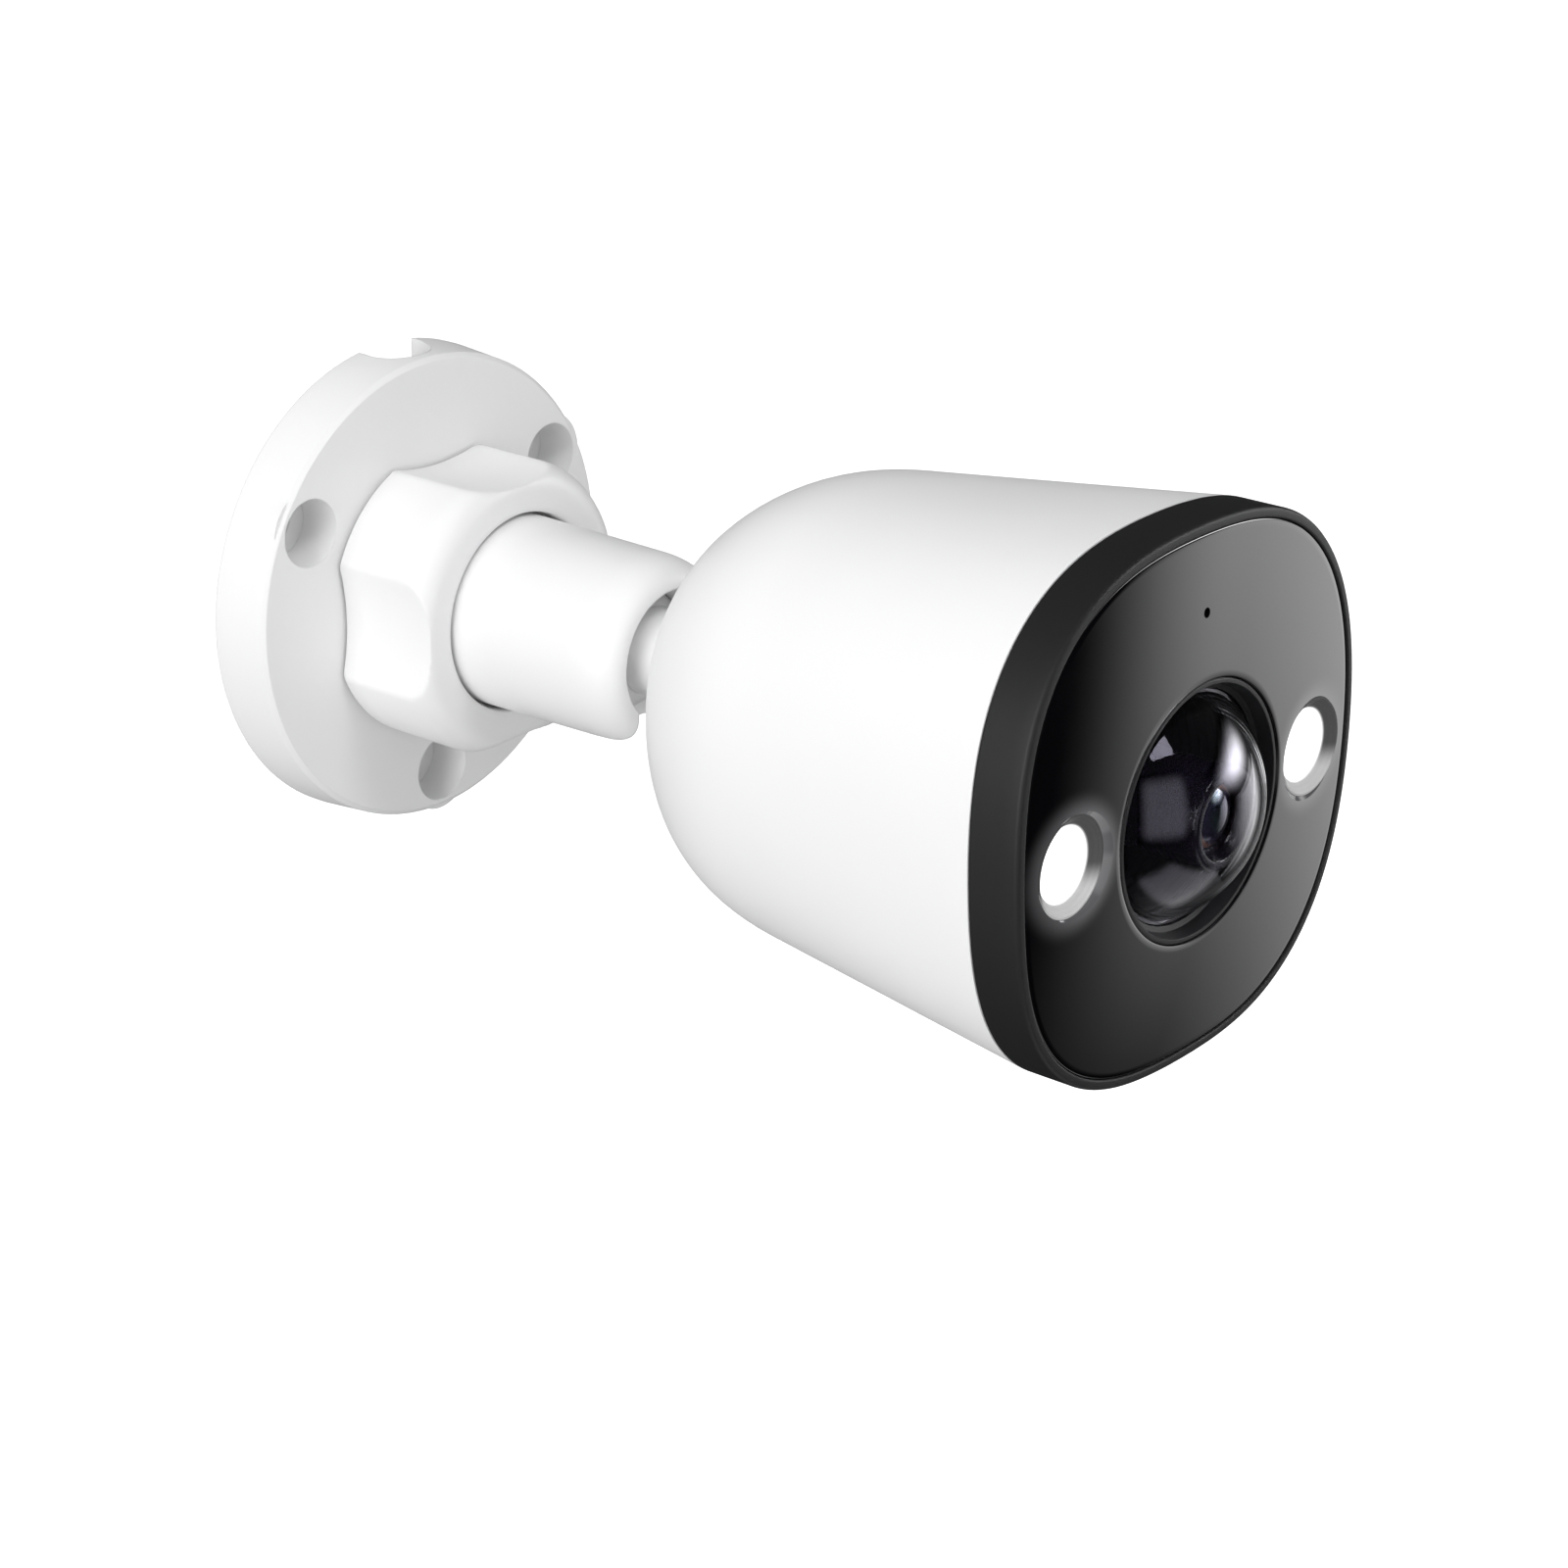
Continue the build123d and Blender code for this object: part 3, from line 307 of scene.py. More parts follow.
@dataclass(frozen=True)
class MouldedPlastic(Finish):
    """Injection-moulded plastic with a fine spark-eroded grain and slight unevenness."""

    colour: Colour
    roughness: float = 0.42
    grain: float = 0.35
    depth: float = 0.006
    edge: float = 0.35
    coat: float = 0.0
    unevenness: float = 0.03
    gloss: float = 0.5

    def shade(self, graph: Graph) -> bpy.types.NodeSocket:
        """Return the shader of the finish."""
        drift = graph.noise(22.0, 2.0)
        fine = graph.noise(self.grain, 3.0)
        darker = tuple(c * (1 - self.unevenness) for c in self.colour[:3]) + (1.0,)
        rough = self.roughness + (drift - 0.5) * 0.10 + (fine - 0.5) * 0.08
        return graph.surface({
            "Base Color": graph.blend(drift * 0.7 + fine * 0.3, darker, self.colour),
            "Roughness": rough,
            "Specular IOR Level": self.gloss,
            "Coat Weight": self.coat,
            "Coat Roughness": 0.08,
            "Normal": graph.bump(fine, self.depth, self.edge)})


@dataclass(frozen=True)
class PolishedPanel(Finish):
    """Gloss black acrylic with faint handling marks, and a painted glow round its two light windows: a faint
    emission that stands in for their light falling on it.
    """

    colour: Colour
    spot_x: float
    spot_z: float
    painted_glow_start: float
    painted_glow_width: float
    inner_fade: float = 7.0

    def shade(self, graph: Graph) -> bpy.types.NodeSocket:
        """Return the shader of the finish."""
        x, _, z = graph.axes(graph.place())
        haze = graph.noise(9.0, 4.0)
        speck = graph.noise(0.25, 2.0).step(0.70, 0.82)
        # Painted glow: the panel emits a faint grey ring round each light window, as if their light fell on
        # it.
        painted_glow = 0.0
        for side in (-1, 1):
            away = graph.away(x - side * self.spot_x * MM, z - self.spot_z * MM)
            fade = 1 - away.step(self.painted_glow_start * MM, (self.painted_glow_start + self.painted_glow_width) * MM)
            beyond = (x * side - self.spot_x * MM).step(-self.inner_fade * MM, self.inner_fade * MM)
            painted_glow = fade ** 1.8 * (1 - beyond * 0.55) + painted_glow
        return graph.surface({
            "Base Color": graph.blend(speck * 0.25, self.colour, (0.05, 0.05, 0.055, 1.0)),
            "Roughness": 0.05 + haze.step(0.45, 0.75) * 0.035,
            "Coat Weight": 1.0,
            "Coat Roughness": 0.03,
            "Emission Color": graph.blend(painted_glow, (0.0, 0.0, 0.0, 1.0), (0.13, 0.13, 0.135, 1.0)),
            "Emission Strength": 1.0,
            "Normal": graph.bump(haze, 0.004)})


@dataclass(frozen=True)
class Metal(Finish):
    """A metal with fine turning or brushing marks about the Y axis."""

    colour: Colour
    roughness: float = 0.3
    pitch: float = 0.12
    depth: float = 0.004

    def shade(self, graph: Graph) -> bpy.types.NodeSocket:
        """Return the shader of the finish."""
        x, y, z = graph.axes(graph.place())
        radius = graph.away(x, z)
        marks = graph.noise(self.pitch, 3.0, graph.vector(radius, y, 0.0))
        stain = graph.noise(4.0, 3.0)
        dull = tuple(c * 0.82 for c in self.colour[:3]) + (1.0,)
        return graph.surface({
            "Base Color": graph.blend(stain, dull, self.colour),
            "Metallic": 1.0,
            "Roughness": self.roughness + (marks - 0.5) * 0.2,
            "Normal": graph.bump(marks, self.depth, 0.12)})


@dataclass(frozen=True)
class ClearGlass(Finish):
    """Polished glass with a faint coating and a few wiping marks."""

    tint: Colour
    film: float = 0.0  # thickness of the coating, in nanometres
    index: float = 1.5
    sheen: Colour = (1.0, 1.0, 1.0, 1.0)

    def shade(self, graph: Graph) -> bpy.types.NodeSocket:
        """Return the shader of the finish."""
        wipe = graph.noise(6.0, 3.0).step(0.5, 0.8)
        return graph.surface({
            "Base Color": graph.blend(wipe * 0.4, self.tint, (1.0, 1.0, 1.0, 1.0)),
            "Roughness": wipe * 0.02,
            "Transmission Weight": 1.0,
            "IOR": self.index,
            "Specular Tint": self.sheen,
            "Thin Film Thickness": self.film,
            "Thin Film IOR": 1.38})


@dataclass(frozen=True)
class CoatedElement(Finish):
    """The small front element: dark glass whose rim shows a warm ring, with the green and violet reflections
    of its coating painted into its base colour.
    """

    radius: float

    def shade(self, graph: Graph) -> bpy.types.NodeSocket:
        """Return the shader of the finish."""
        x, _, z = graph.axes(graph.place())
        away = graph.away(x, z) / (self.radius * MM)
        lean = graph.noise(3.0, 1.0) * 0.12
        # The ramp paints the coating's green and violet reflections into the base colour, with a warm ring
        # near the rim.
        tone_and_painted_reflections = graph.ramp(away + lean - 0.06, (
            (0.00, (0.008, 0.012, 0.016, 1.0)), (0.30, (0.010, 0.030, 0.024, 1.0)),
            (0.52, (0.018, 0.012, 0.045, 1.0)), (0.74, (0.030, 0.018, 0.060, 1.0)),
            (0.84, (0.55, 0.30, 0.22, 1.0)), (0.90, (0.62, 0.36, 0.30, 1.0)),
            (0.97, (0.03, 0.02, 0.03, 1.0))))
        return graph.surface({
            "Base Color": tone_and_painted_reflections,
            "Roughness": 0.12 + graph.noise(1.2, 2.0) * 0.05,
            "Coat Weight": 1.0,
            "Coat Roughness": 0.02,
            "Thin Film Thickness": 420.0,
            "Thin Film IOR": 1.6})


@dataclass(frozen=True)
class LitWindow(Finish):
    """The optic over a lamp: brightest in its middle, with a flared rim in painted light and shade, light
    grey low down where the lamp's light falls and dark above, and a faint painted glow.
    """

    spot_x: float
    spot_z: float
    core: float
    rim: float
    strength: float
    rib_pitch: float = 0.55

    def shade(self, graph: Graph) -> bpy.types.NodeSocket:
        """Return the shader of the finish."""
        x, _, z = graph.axes(graph.place())
        side = graph.math("ABSOLUTE", x) - self.spot_x * MM
        away = graph.away(side, z - self.spot_z * MM)
        ribs = graph.math("SINE", away * (2 * math.pi / (self.rib_pitch * MM))) * 0.5 + 0.5
        bright = 1 - away.step(self.core * MM, self.rim * MM)
        # Painted light and shade on the rim's wall: light grey low down, where the lamp's light would fall,
        # dark above.
        low = 1 - (z - self.spot_z * MM).step(-0.85 * self.rim * MM, -0.2 * self.rim * MM)
        wall = graph.blend(low, (0.06, 0.06, 0.062, 1.0), (0.55, 0.55, 0.55, 1.0))
        return graph.surface({
            "Base Color": graph.blend(bright, wall, (0.95, 0.95, 0.93, 1.0)),
            "Roughness": 0.55 - bright * 0.40 + ribs * 0.05,
            "Specular IOR Level": 0.25,
            "Coat Weight": bright * 0.6,
            # Outside its bright middle, which is the lamp's face, the rim emits faintly: a painted glow.
            "Emission Color": graph.blend(bright, (0.015, 0.015, 0.015, 1.0), (1.0, 1.0, 1.0, 1.0)),
            "Emission Strength": self.strength,
            "Normal": graph.bump(ribs, 0.02)})


@dataclass(frozen=True)
class CircuitBoard(Finish):
    """Solder mask over copper tracks, with tinned pads."""

    mask: Colour
    track: Colour
    grid: float = 1.6

    def shade(self, graph: Graph) -> bpy.types.NodeSocket:
        """Return the shader of the finish."""
        x, y, z = graph.axes(graph.place())
        stepped = graph.vector(*(axis / (self.grid * MM) for axis in (x, y, z)))
        cells = graph.node("ShaderNodeTexVoronoi", {"feature": "DISTANCE_TO_EDGE"},
                           {"Vector": stepped, "Scale": 0.7, "Randomness": 0.55})
        line = 1 - graph.number(cells, "Distance").step(0.05, 0.08)
        dots = graph.node("ShaderNodeTexVoronoi", {"feature": "F1"},
                          {"Vector": stepped, "Scale": 0.9, "Randomness": 0.35})
        pad = 1 - graph.number(dots, "Distance").step(0.13, 0.16)
        ground = graph.blend(line, self.mask, self.track)
        return graph.surface({
            "Base Color": graph.blend(pad, ground, (0.72, 0.70, 0.66, 1.0)),
            "Metallic": pad * 0.9,
            "Roughness": 0.34 - pad * 0.1,
            "Coat Weight": 0.4,
            "Normal": graph.bump(graph.math("MAXIMUM", line, pad), 0.03, 0.1)})


@dataclass(frozen=True)
class SensorWindow(Finish):
    """The glass lid over the image sensor, with the array's fine grid under it."""

    half_width: float = 3.9
    half_height: float = 2.9
    pitch: float = 0.08

    def shade(self, graph: Graph) -> bpy.types.NodeSocket:
        """Return the shader of the finish."""
        x, _, z = graph.axes(graph.place())
        wave = 2 * math.pi / (self.pitch * MM)
        grid = graph.math("SINE", x * wave) * graph.math("SINE", z * wave)
        inside = 1 - graph.math("MAXIMUM", graph.math("ABSOLUTE", x) / (self.half_width * MM),
                                graph.math("ABSOLUTE", z) / (self.half_height * MM)).step(0.97, 1.0)
        array = graph.blend(grid * 0.5 + 0.5, (0.05, 0.03, 0.10, 1.0), (0.08, 0.16, 0.12, 1.0))
        return graph.surface({
            "Base Color": graph.blend(inside, (0.55, 0.45, 0.22, 1.0), array),
            "Metallic": 0.6 - inside * 0.4,
            "Roughness": 0.18 + grid * 0.03,
            "Coat Weight": 1.0,
            "Coat Roughness": 0.02})


def finishes() -> dict[Slot, Finish]:
    """Return the finish of each material slot."""
    return {
        Slot.WHITE: MouldedPlastic("white_satin_plastic", (0.87, 0.87, 0.872, 1.0),
                                   roughness=0.40, grain=0.35, depth=0.005),
        Slot.BLACK: MouldedPlastic("black_textured_plastic", (0.016, 0.016, 0.017, 1.0),
                                   roughness=0.52, grain=0.22, depth=0.012, edge=0.25, unevenness=0.25),
        # The panel's painted glow starts 6.7 mm from each light window's middle and fades out over 4.4 mm.
        Slot.PANEL: PolishedPanel("gloss_black_panel", (0.004, 0.004, 0.005, 1.0), SPOT_OFFSET, SPOT_HEIGHT,
                                  painted_glow_start=6.7, painted_glow_width=4.4),
        Slot.RUBBER: MouldedPlastic("black_rubber", (0.022, 0.022, 0.023, 1.0),
                                    roughness=0.75, grain=0.5, depth=0.02, edge=0.2, unevenness=0.3,
                                    gloss=0.3),
        Slot.CLEAR: ClearGlass("dome_glass", (0.93, 0.93, 0.97, 1.0), index=1.5,
                               sheen=(0.86, 0.82, 1.0, 1.0)),
        Slot.LIGHT: LitWindow("lit_optic", SPOT_OFFSET, SPOT_HEIGHT, core=4.9, rim=5.45, strength=1.3),
        Slot.BOARD: CircuitBoard("green_circuit_board", mask=(0.010, 0.085, 0.035, 1.0),
                                 track=(0.025, 0.17, 0.07, 1.0)),
        Slot.CHIP: MouldedPlastic("chip_mould", (0.030, 0.030, 0.032, 1.0),
                                  roughness=0.55, grain=0.12, depth=0.01, edge=0.12, unevenness=0.2),
        Slot.STEEL: Metal("zinc_plated_steel", (0.62, 0.62, 0.60, 1.0), roughness=0.30),
        Slot.ALUMINIUM: Metal("plain_aluminium", (0.78, 0.78, 0.79, 1.0),
                              roughness=0.38, pitch=0.3, depth=0.006),
        Slot.BRASS: Metal("turned_brass", (0.78, 0.57, 0.25, 1.0), roughness=0.25),
        Slot.PHOSPHOR: MouldedPlastic("lamp_phosphor", (0.93, 0.78, 0.22, 1.0),
                                      roughness=0.45, grain=0.08, depth=0.01, edge=0.05),
        Slot.WASHER: MouldedPlastic("natural_acetal", (0.80, 0.79, 0.75, 1.0),
                                    roughness=0.33, grain=0.5, depth=0.004, edge=0.15),
        Slot.BALL: MouldedPlastic("white_polished_ball", (0.80, 0.80, 0.80, 1.0),
                                  roughness=0.30, grain=0.4, depth=0.003),
        Slot.PAD: MouldedPlastic("soft_heat_pad", (0.36, 0.44, 0.56, 1.0),
                                 roughness=0.8, grain=0.6, depth=0.03, edge=0.2),
        Slot.SENSOR: SensorWindow("sensor_under_glass"),
        Slot.INFRARED: ClearGlass("infrared_cut_glass", (0.60, 0.84, 0.90, 1.0), film=380.0, index=1.52),
        Slot.BARREL: MouldedPlastic("anodised_black_barrel", (0.010, 0.006, 0.020, 1.0),
                                    roughness=0.26, grain=0.15, depth=0.004, edge=0.1, unevenness=0.2),
        Slot.COATED: CoatedElement("coated_front_element", radius=4.6),
        Slot.RING: MouldedPlastic("black_lens_ring", (0.014, 0.014, 0.016, 1.0),
                                  roughness=0.42, grain=0.3, depth=0.003, edge=0.15, unevenness=0.2),
    }


# ---------------------------------------------------------------- mesh tools
def linked(name: str, data: bpy.types.ID) -> bpy.types.Object:
    """Return a new object of the scene that holds a mesh, a lamp or a camera."""
    made = bpy.data.objects.new(name, data)
    bpy.context.scene.collection.objects.link(made)
    return made


def mesh_from(name: str, form: bmesh.types.BMesh, sharp: float) -> bpy.types.Mesh:
    """Turn a bmesh into a mesh that is smooth except at edges sharper than `sharp` degrees."""
    mesh = bpy.data.meshes.new(name)
    form.to_mesh(mesh)
    form.free()
    for polygon in mesh.polygons:
        polygon.use_smooth = True
    if "custom_normal" in mesh.attributes:
        mesh.attributes.remove(mesh.attributes["custom_normal"])
    mesh.set_sharp_from_angle(angle=math.radians(sharp))
    return mesh


def swept(rows: Sequence[Sequence[Vector]]) -> bmesh.types.BMesh:
    """Join rows of points into a closed skin of quads.

    Args:
        rows: Rows of equally many points. Each row is a closed loop, and the last row joins the first.

    Returns:
        The skin, its doubles merged and its faces outward.
    """
    form = bmesh.new()
    made = [[form.verts.new(point) for point in row] for row in rows]
    count = len(rows[0])
    for index in range(len(rows)):
        near, far = made[index], made[(index + 1) % len(rows)]
        for step in range(count):
            after = (step + 1) % count
            form.faces.new((near[step], near[after], far[after], far[step]))
    bmesh.ops.remove_doubles(form, verts=form.verts, dist=MERGE)
    bmesh.ops.recalc_face_normals(form, faces=form.faces)
    return form


def lathe(outline: Outline, segments: int = 128,
          centre: tuple[float, float] = (0.0, 0.0)) -> bmesh.types.BMesh:
    """Turn a closed outline of (radius, station) points about an axis along Y.

    Args:
        outline: The points, in millimetres.
        segments: Steps round the axis.
        centre: The axis' x and z, in millimetres.

    Returns:
        The turned solid.
    """
    rows = []
    for radius, station in outline:
        row = []
        for step in range(segments):
            angle = 2 * math.pi * step / segments
            row.append(Vector((centre[0] + radius * math.cos(angle), -station,
                               centre[1] + radius * math.sin(angle))) * MM)
        rows.append(row)
    return swept(rows)


def rounded(outline: Outline, radius: float, steps: int = 4) -> list[tuple[float, float]]:
    """Round every corner of a closed outline by an arc of up to `radius`, in `steps` steps."""
    result = []
    count = len(outline)
    for index in range(count):
        before, corner, after = (Vector(outline[(index + k) % count]) for k in (-1, 0, 1))
        back, ahead = before - corner, after - corner
        reach = min(radius, back.length * 0.45, ahead.length * 0.45)
        turn = math.pi - back.angle(ahead)
        if turn < math.radians(12):
            result.append(tuple(corner))
            continue
        start, end = corner + back.normalized() * reach, corner + ahead.normalized() * reach
        for step in range(steps + 1):
            t = step / steps
            point = start * (1 - t) ** 2 + corner * 2 * t * (1 - t) + end * t ** 2
            result.append(tuple(point))
    return result


def quarter(radius: float, steps: int) -> list[tuple[float, float]]:
    """Return how far the points of a quarter round stand in from its first side and from its second."""
    angles = [math.pi / 2 * step / steps for step in range(steps + 1)]
    return [(radius * (1 - math.cos(angle)), radius * (1 - math.sin(angle))) for angle in angles]


def cut(target: bpy.types.Object, cutters: Iterable[bmesh.types.BMesh]) -> None:
    """Take the cutters' shapes out of a mesh object."""
    for number, form in enumerate(cutters):
        tool = linked(f"cutter_{number}", mesh_from("cutter", form, 30))
        boolean = target.modifiers.new("cut", "BOOLEAN")
        boolean.operation = "DIFFERENCE"
        boolean.solver = "EXACT"
        boolean.object = tool
        settle(target)
        bpy.data.objects.remove(tool)


def settle(target: bpy.types.Object) -> None:
    """Turn an object's modifiers into its plain mesh."""
    graph = bpy.context.evaluated_depsgraph_get()
    graph.update()
    mesh = bpy.data.meshes.new_from_object(target.evaluated_get(graph))
    target.modifiers.clear()
    target.data = mesh


class Workshop:
    """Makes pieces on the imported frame: it knows each node's body, slot and mesh."""

    def __init__(self, frame: dict[str, Any]) -> None:
        """Read the frame.
        """
        self.nodes: dict[str, bpy.types.Object] = frame["nodes"]
        record = frame["record"]
        self.slots = {row["node"]: Slot(row["material_slot"]) for row in record["subparts"]}
        self.bodies = {node: body for body, nodes in record["behaviour"]["bodies"].items() for node in nodes}
        self.finishes = finishes()
        self.done: set[str] = set()

    def material(self, node: str) -> bpy.types.Material:
        """Return the material of a CAD node's slot."""
        return self.finishes[self.slots[node]].material()

    def dress(self, node: str) -> None:
        """Give a CAD node that stays its finish."""
        data = self.nodes[node].data
        material = self.material(node)
        if data.materials:
            for index in range(len(data.materials)):
                data.materials[index] = material
        else:
            data.materials.append(material)
        self.done.add(node)
        LOG.info("%s keeps its shape and gets %s", node, material.name)

    def keep(self, name: str, mesh: bpy.types.Mesh, *nodes: str) -> None:
        """Place a finished mesh in the scene in the stead of CAD nodes.

        Args:
            name: The piece's name.
            mesh: Its mesh, in place.
            nodes: The CAD nodes it stands for. It has the first one's body and slot.
        """
        piece = linked(name, mesh)
        mesh.materials.clear()
        mesh.materials.append(self.material(nodes[0]))
        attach(piece, self.bodies[nodes[0]])
        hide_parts(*nodes)
        self.done.update(nodes)
        LOG.info("%s: %d faces, stands for %s", name, len(mesh.polygons), ", ".join(nodes))

    def merged(self, node: str) -> bmesh.types.BMesh:
        """Return a copy of a CAD node's mesh with its seams closed."""
        form = bmesh.new()
        form.from_mesh(self.nodes[node].data)
        bmesh.ops.remove_doubles(form, verts=form.verts, dist=CAD_SEAM)
        bmesh.ops.dissolve_degenerate(form, dist=MERGE, edges=form.edges)
        return form

    def make(self, name: str, form: bmesh.types.BMesh, sharp: float, node: str) -> None:
        """Place a shape in a CAD node's stead, smooth but for edges sharper than `sharp` degrees."""
        self.keep(name, mesh_from(name, form, sharp), node)

    def refine(self, node: str, name: str, sharp: float = 28.0) -> None:
        """Replace a CAD node by a smooth, closed copy of itself."""
        self.make(name, self.merged(node), sharp, node)

    def refine_all(self, **names: str) -> None:
        """Replace each CAD node by a smooth copy of itself, under the name given for it."""
        for node, name in names.items():
            self.refine(node, name)


# ---------------------------------------------------------------- geometry rules
class Rule:
    """A Geometry Nodes tree with named inputs, made into a plain mesh once it is applied."""

    def __init__(self, name: str, sizes: dict[str, float]) -> None:
        """Make an empty tree.

        Args:
            name: The tree's name.
            sizes: Its named inputs and their values.
        """
        self.tree = bpy.data.node_groups.new(name, "GeometryNodeTree")
        self.graph = Graph(self.tree)
        face = self.tree.interface
        face.new_socket("Geometry", in_out="INPUT", socket_type="NodeSocketGeometry")
        face.new_socket("Geometry", in_out="OUTPUT", socket_type="NodeSocketGeometry")
        self.identifiers = {}
        for size in sizes:
            made = face.new_socket(size, in_out="INPUT", socket_type="NodeSocketFloat")
            self.identifiers[size] = made.identifier
        made = face.new_socket("Material", in_out="INPUT", socket_type="NodeSocketMaterial")
        self.identifiers["Material"] = made.identifier
        self.sizes = sizes
        self.start = self.graph.node("NodeGroupInput")

    def size(self, name: str) -> Value:
        """Return one named input."""
        return self.graph.number(self.start, name)

    def geometry(self) -> bpy.types.NodeSocket:
        """Return the geometry that the rule starts from."""
        return self.start.outputs["Geometry"]

    def end(self, geometry: bpy.types.NodeSocket) -> None:
        """Close the tree with Realize Instances and Set Material."""
        real = self.graph.node("GeometryNodeRealizeInstances", None, {"Geometry": geometry})
        painted = self.graph.node("GeometryNodeSetMaterial", None, {
            "Geometry": real.outputs[0], "Material": self.start.outputs["Material"]})
        self.graph.node("NodeGroupOutput", None, {"Geometry": painted.outputs[0]})

    def apply(self, name: str, seed: bpy.types.Mesh, material: bpy.types.Material,
              sharp: float) -> bpy.types.Mesh:
        """Run the rule on a mesh.

        Args:
            name: The new mesh's name.
            seed: The mesh that the rule starts from.
            material: Its material.
            sharp: Edges sharper than this many degrees stay sharp.

        Returns:
            The plain mesh that comes out.
        """
        holder = linked(name + "_seed", seed)
        modifier = holder.modifiers.new(name, "NODES")
        modifier.node_group = self.tree
        for size, value in self.sizes.items():
            modifier[self.identifiers[size]] = value
        modifier[self.identifiers["Material"]] = material
        settle(holder)
        mesh = holder.data
        bpy.data.objects.remove(holder)
        mesh.name = name
        form = bmesh.new()
        form.from_mesh(mesh)
        bmesh.ops.remove_doubles(form, verts=form.verts, dist=MERGE)
        bmesh.ops.recalc_face_normals(form, faces=form.faces)
        return mesh_from(name, form, sharp)


@dataclass
class Fluting:
    """Round flutes cut down the outside of a turned piece, softened where they meet its skin."""

    count: int
    radius: float
    depth: float
    outside: float
    softness: float

    def rule(self) -> Rule:
        """Return the tree that moves a turned skin in to the flutes."""
        rule = Rule("fluting", {
            "Count": float(self.count), "Flute Radius": self.radius * MM,
            "Flute Centre": (self.outside - self.depth + self.radius) * MM,
            "Softness": self.softness * MM})
        graph = rule.graph
        x, y, z = graph.points()
        skin = graph.away(x, z)
        half_pitch = math.pi / rule.size("Count")
        turn = graph.math("WRAP", graph.math("ARCTAN2", z, x), half_pitch, half_pitch * -1)
        across = rule.size("Flute Centre") * graph.math("SINE", turn)
        reach = rule.size("Flute Radius") ** 2 - across * across
        flute = (rule.size("Flute Centre") * graph.math("COSINE", turn)
                 - graph.math("SQRT", graph.math("MAXIMUM", reach, 0.0)))
        soft = graph.math("SMOOTH_MIN", skin, flute, rule.size("Softness"))
        share = soft / skin
        rule.end(graph.moved(rule.geometry(), x * share, y, z * share))
        return rule


@dataclass
class Screws:
    """A set of cross-recessed pan-head screws with rolled threads, all pointing one way."""

    head_radius: float
    head_height: float
    shank_radius: float
    shank_length: float
    pitch: float = 0.5

    def rule(self, turn: tuple[float, float, float]) -> Rule:
        """Return the tree that puts a screw on every point of a mesh.

        Args:
            turn: Euler angles, in radians, that turn a screw whose head is up along Z.

        Returns:
            The tree.
        """
        rule = Rule("screws", {
            "Head Radius": self.head_radius * MM, "Head Height": self.head_height * MM,
            "Shank Radius": self.shank_radius * MM, "Shank Length": self.shank_length * MM,
            "Pitch": self.pitch * MM})
        graph = rule.graph
        radius, height = rule.size("Head Radius"), rule.size("Head Height")
        head = graph.node("GeometryNodeMeshCylinder", None, {
            "Vertices": 40, "Side Segments": 4, "Fill Segments": 4, "Radius": radius, "Depth": height})
        crown = self._crowned(graph, head.outputs["Mesh"], radius, height)
        arms = []
        for long_x in (True, False):
            long, thin = radius * 1.25, radius * 0.26
            size = graph.vector(long, thin, height) if long_x else graph.vector(thin, long, height)
            arms.append(graph.node("GeometryNodeMeshCube", None, {"Size": size}).outputs["Mesh"])
        cross = graph.node("GeometryNodeJoinGeometry", None, {"Geometry": arms})
        lifted = graph.node("GeometryNodeTransform", None, {
            "Geometry": cross.outputs[0], "Translation": graph.vector(0.0, 0.0, height * 0.95)})
        drilled = graph.node("GeometryNodeMeshBoolean", {"operation": "DIFFERENCE", "solver": "EXACT"},
                             {"Mesh 1": crown, "Mesh 2": [lifted.outputs[0]]})
        shank = self._threaded(graph, rule)
        screw = graph.node("GeometryNodeJoinGeometry", None, {"Geometry": [drilled.outputs["Mesh"], shank]})
        placed = graph.node("GeometryNodeInstanceOnPoints", None, {
            "Points": rule.geometry(), "Instance": screw.outputs[0],
            "Rotation": graph.node("FunctionNodeEulerToRotation", None, {0: turn}).outputs[0]})
        rule.end(placed.outputs[0])
        return rule

    @staticmethod
    def _crowned(graph: Graph, head: bpy.types.NodeSocket, radius: Value,
                 height: Value) -> bpy.types.NodeSocket:
        """Lift a head so that it stands on the seat, with its rim turned down."""
        x, y, z = graph.points()
        away = (x * x + y * y) / (radius * radius)
        top = graph.math("GREATER_THAN", z, 0.0)
        low = z + height * 0.5 - top * away * away * height * 0.35
        return graph.moved(head, x, y, low)

    @staticmethod
    def _threaded(graph: Graph, rule: Rule) -> bpy.types.NodeSocket:
        """Return a shank below the seat whose skin winds in a helix."""
        radius, length, pitch = rule.size("Shank Radius"), rule.size("Shank Length"), rule.size("Pitch")
        rod = graph.node("GeometryNodeMeshCylinder", None, {
            "Vertices": 24, "Side Segments": graph.math("CEIL", length / pitch * 4.0), "Radius": radius,
            "Depth": length})
        x, y, z = graph.points()
        wound = z / pitch + graph.math("ARCTAN2", y, x) / (2 * math.pi)
        ridge = graph.math("PINGPONG", wound, 0.5) * 2.0
        share = 0.84 + ridge * 0.16
        return graph.moved(rod.outputs["Mesh"], x * share, y * share, z - length * 0.5)

    def build(self, shop: Workshop, name: str, node: str, seats: Sequence[Vector],
              turn: tuple[float, float, float]) -> None:
        """Make the set and put it in its node's stead.

        Args:
            shop: The workshop.
            name: The piece's name.
            node: The CAD node it stands for.
            seats: Where each head sits, in metres.
            turn: Euler angles of the screws.
        """
        seed = bpy.data.meshes.new(name + "_seats")
        seed.from_pydata(list(seats), [], [])
        shop.keep(name, self.rule(turn).apply(name, seed, shop.material(node), 30), node)


# ---------------------------------------------------------------- sub-assemblies
FACING_OUT = (math.pi / 2, 0.0, 0.0)  # turns a screw's head from +Z to -Y, away from the wall
FACING_DOWN = (math.pi, 0.0, 0.0)


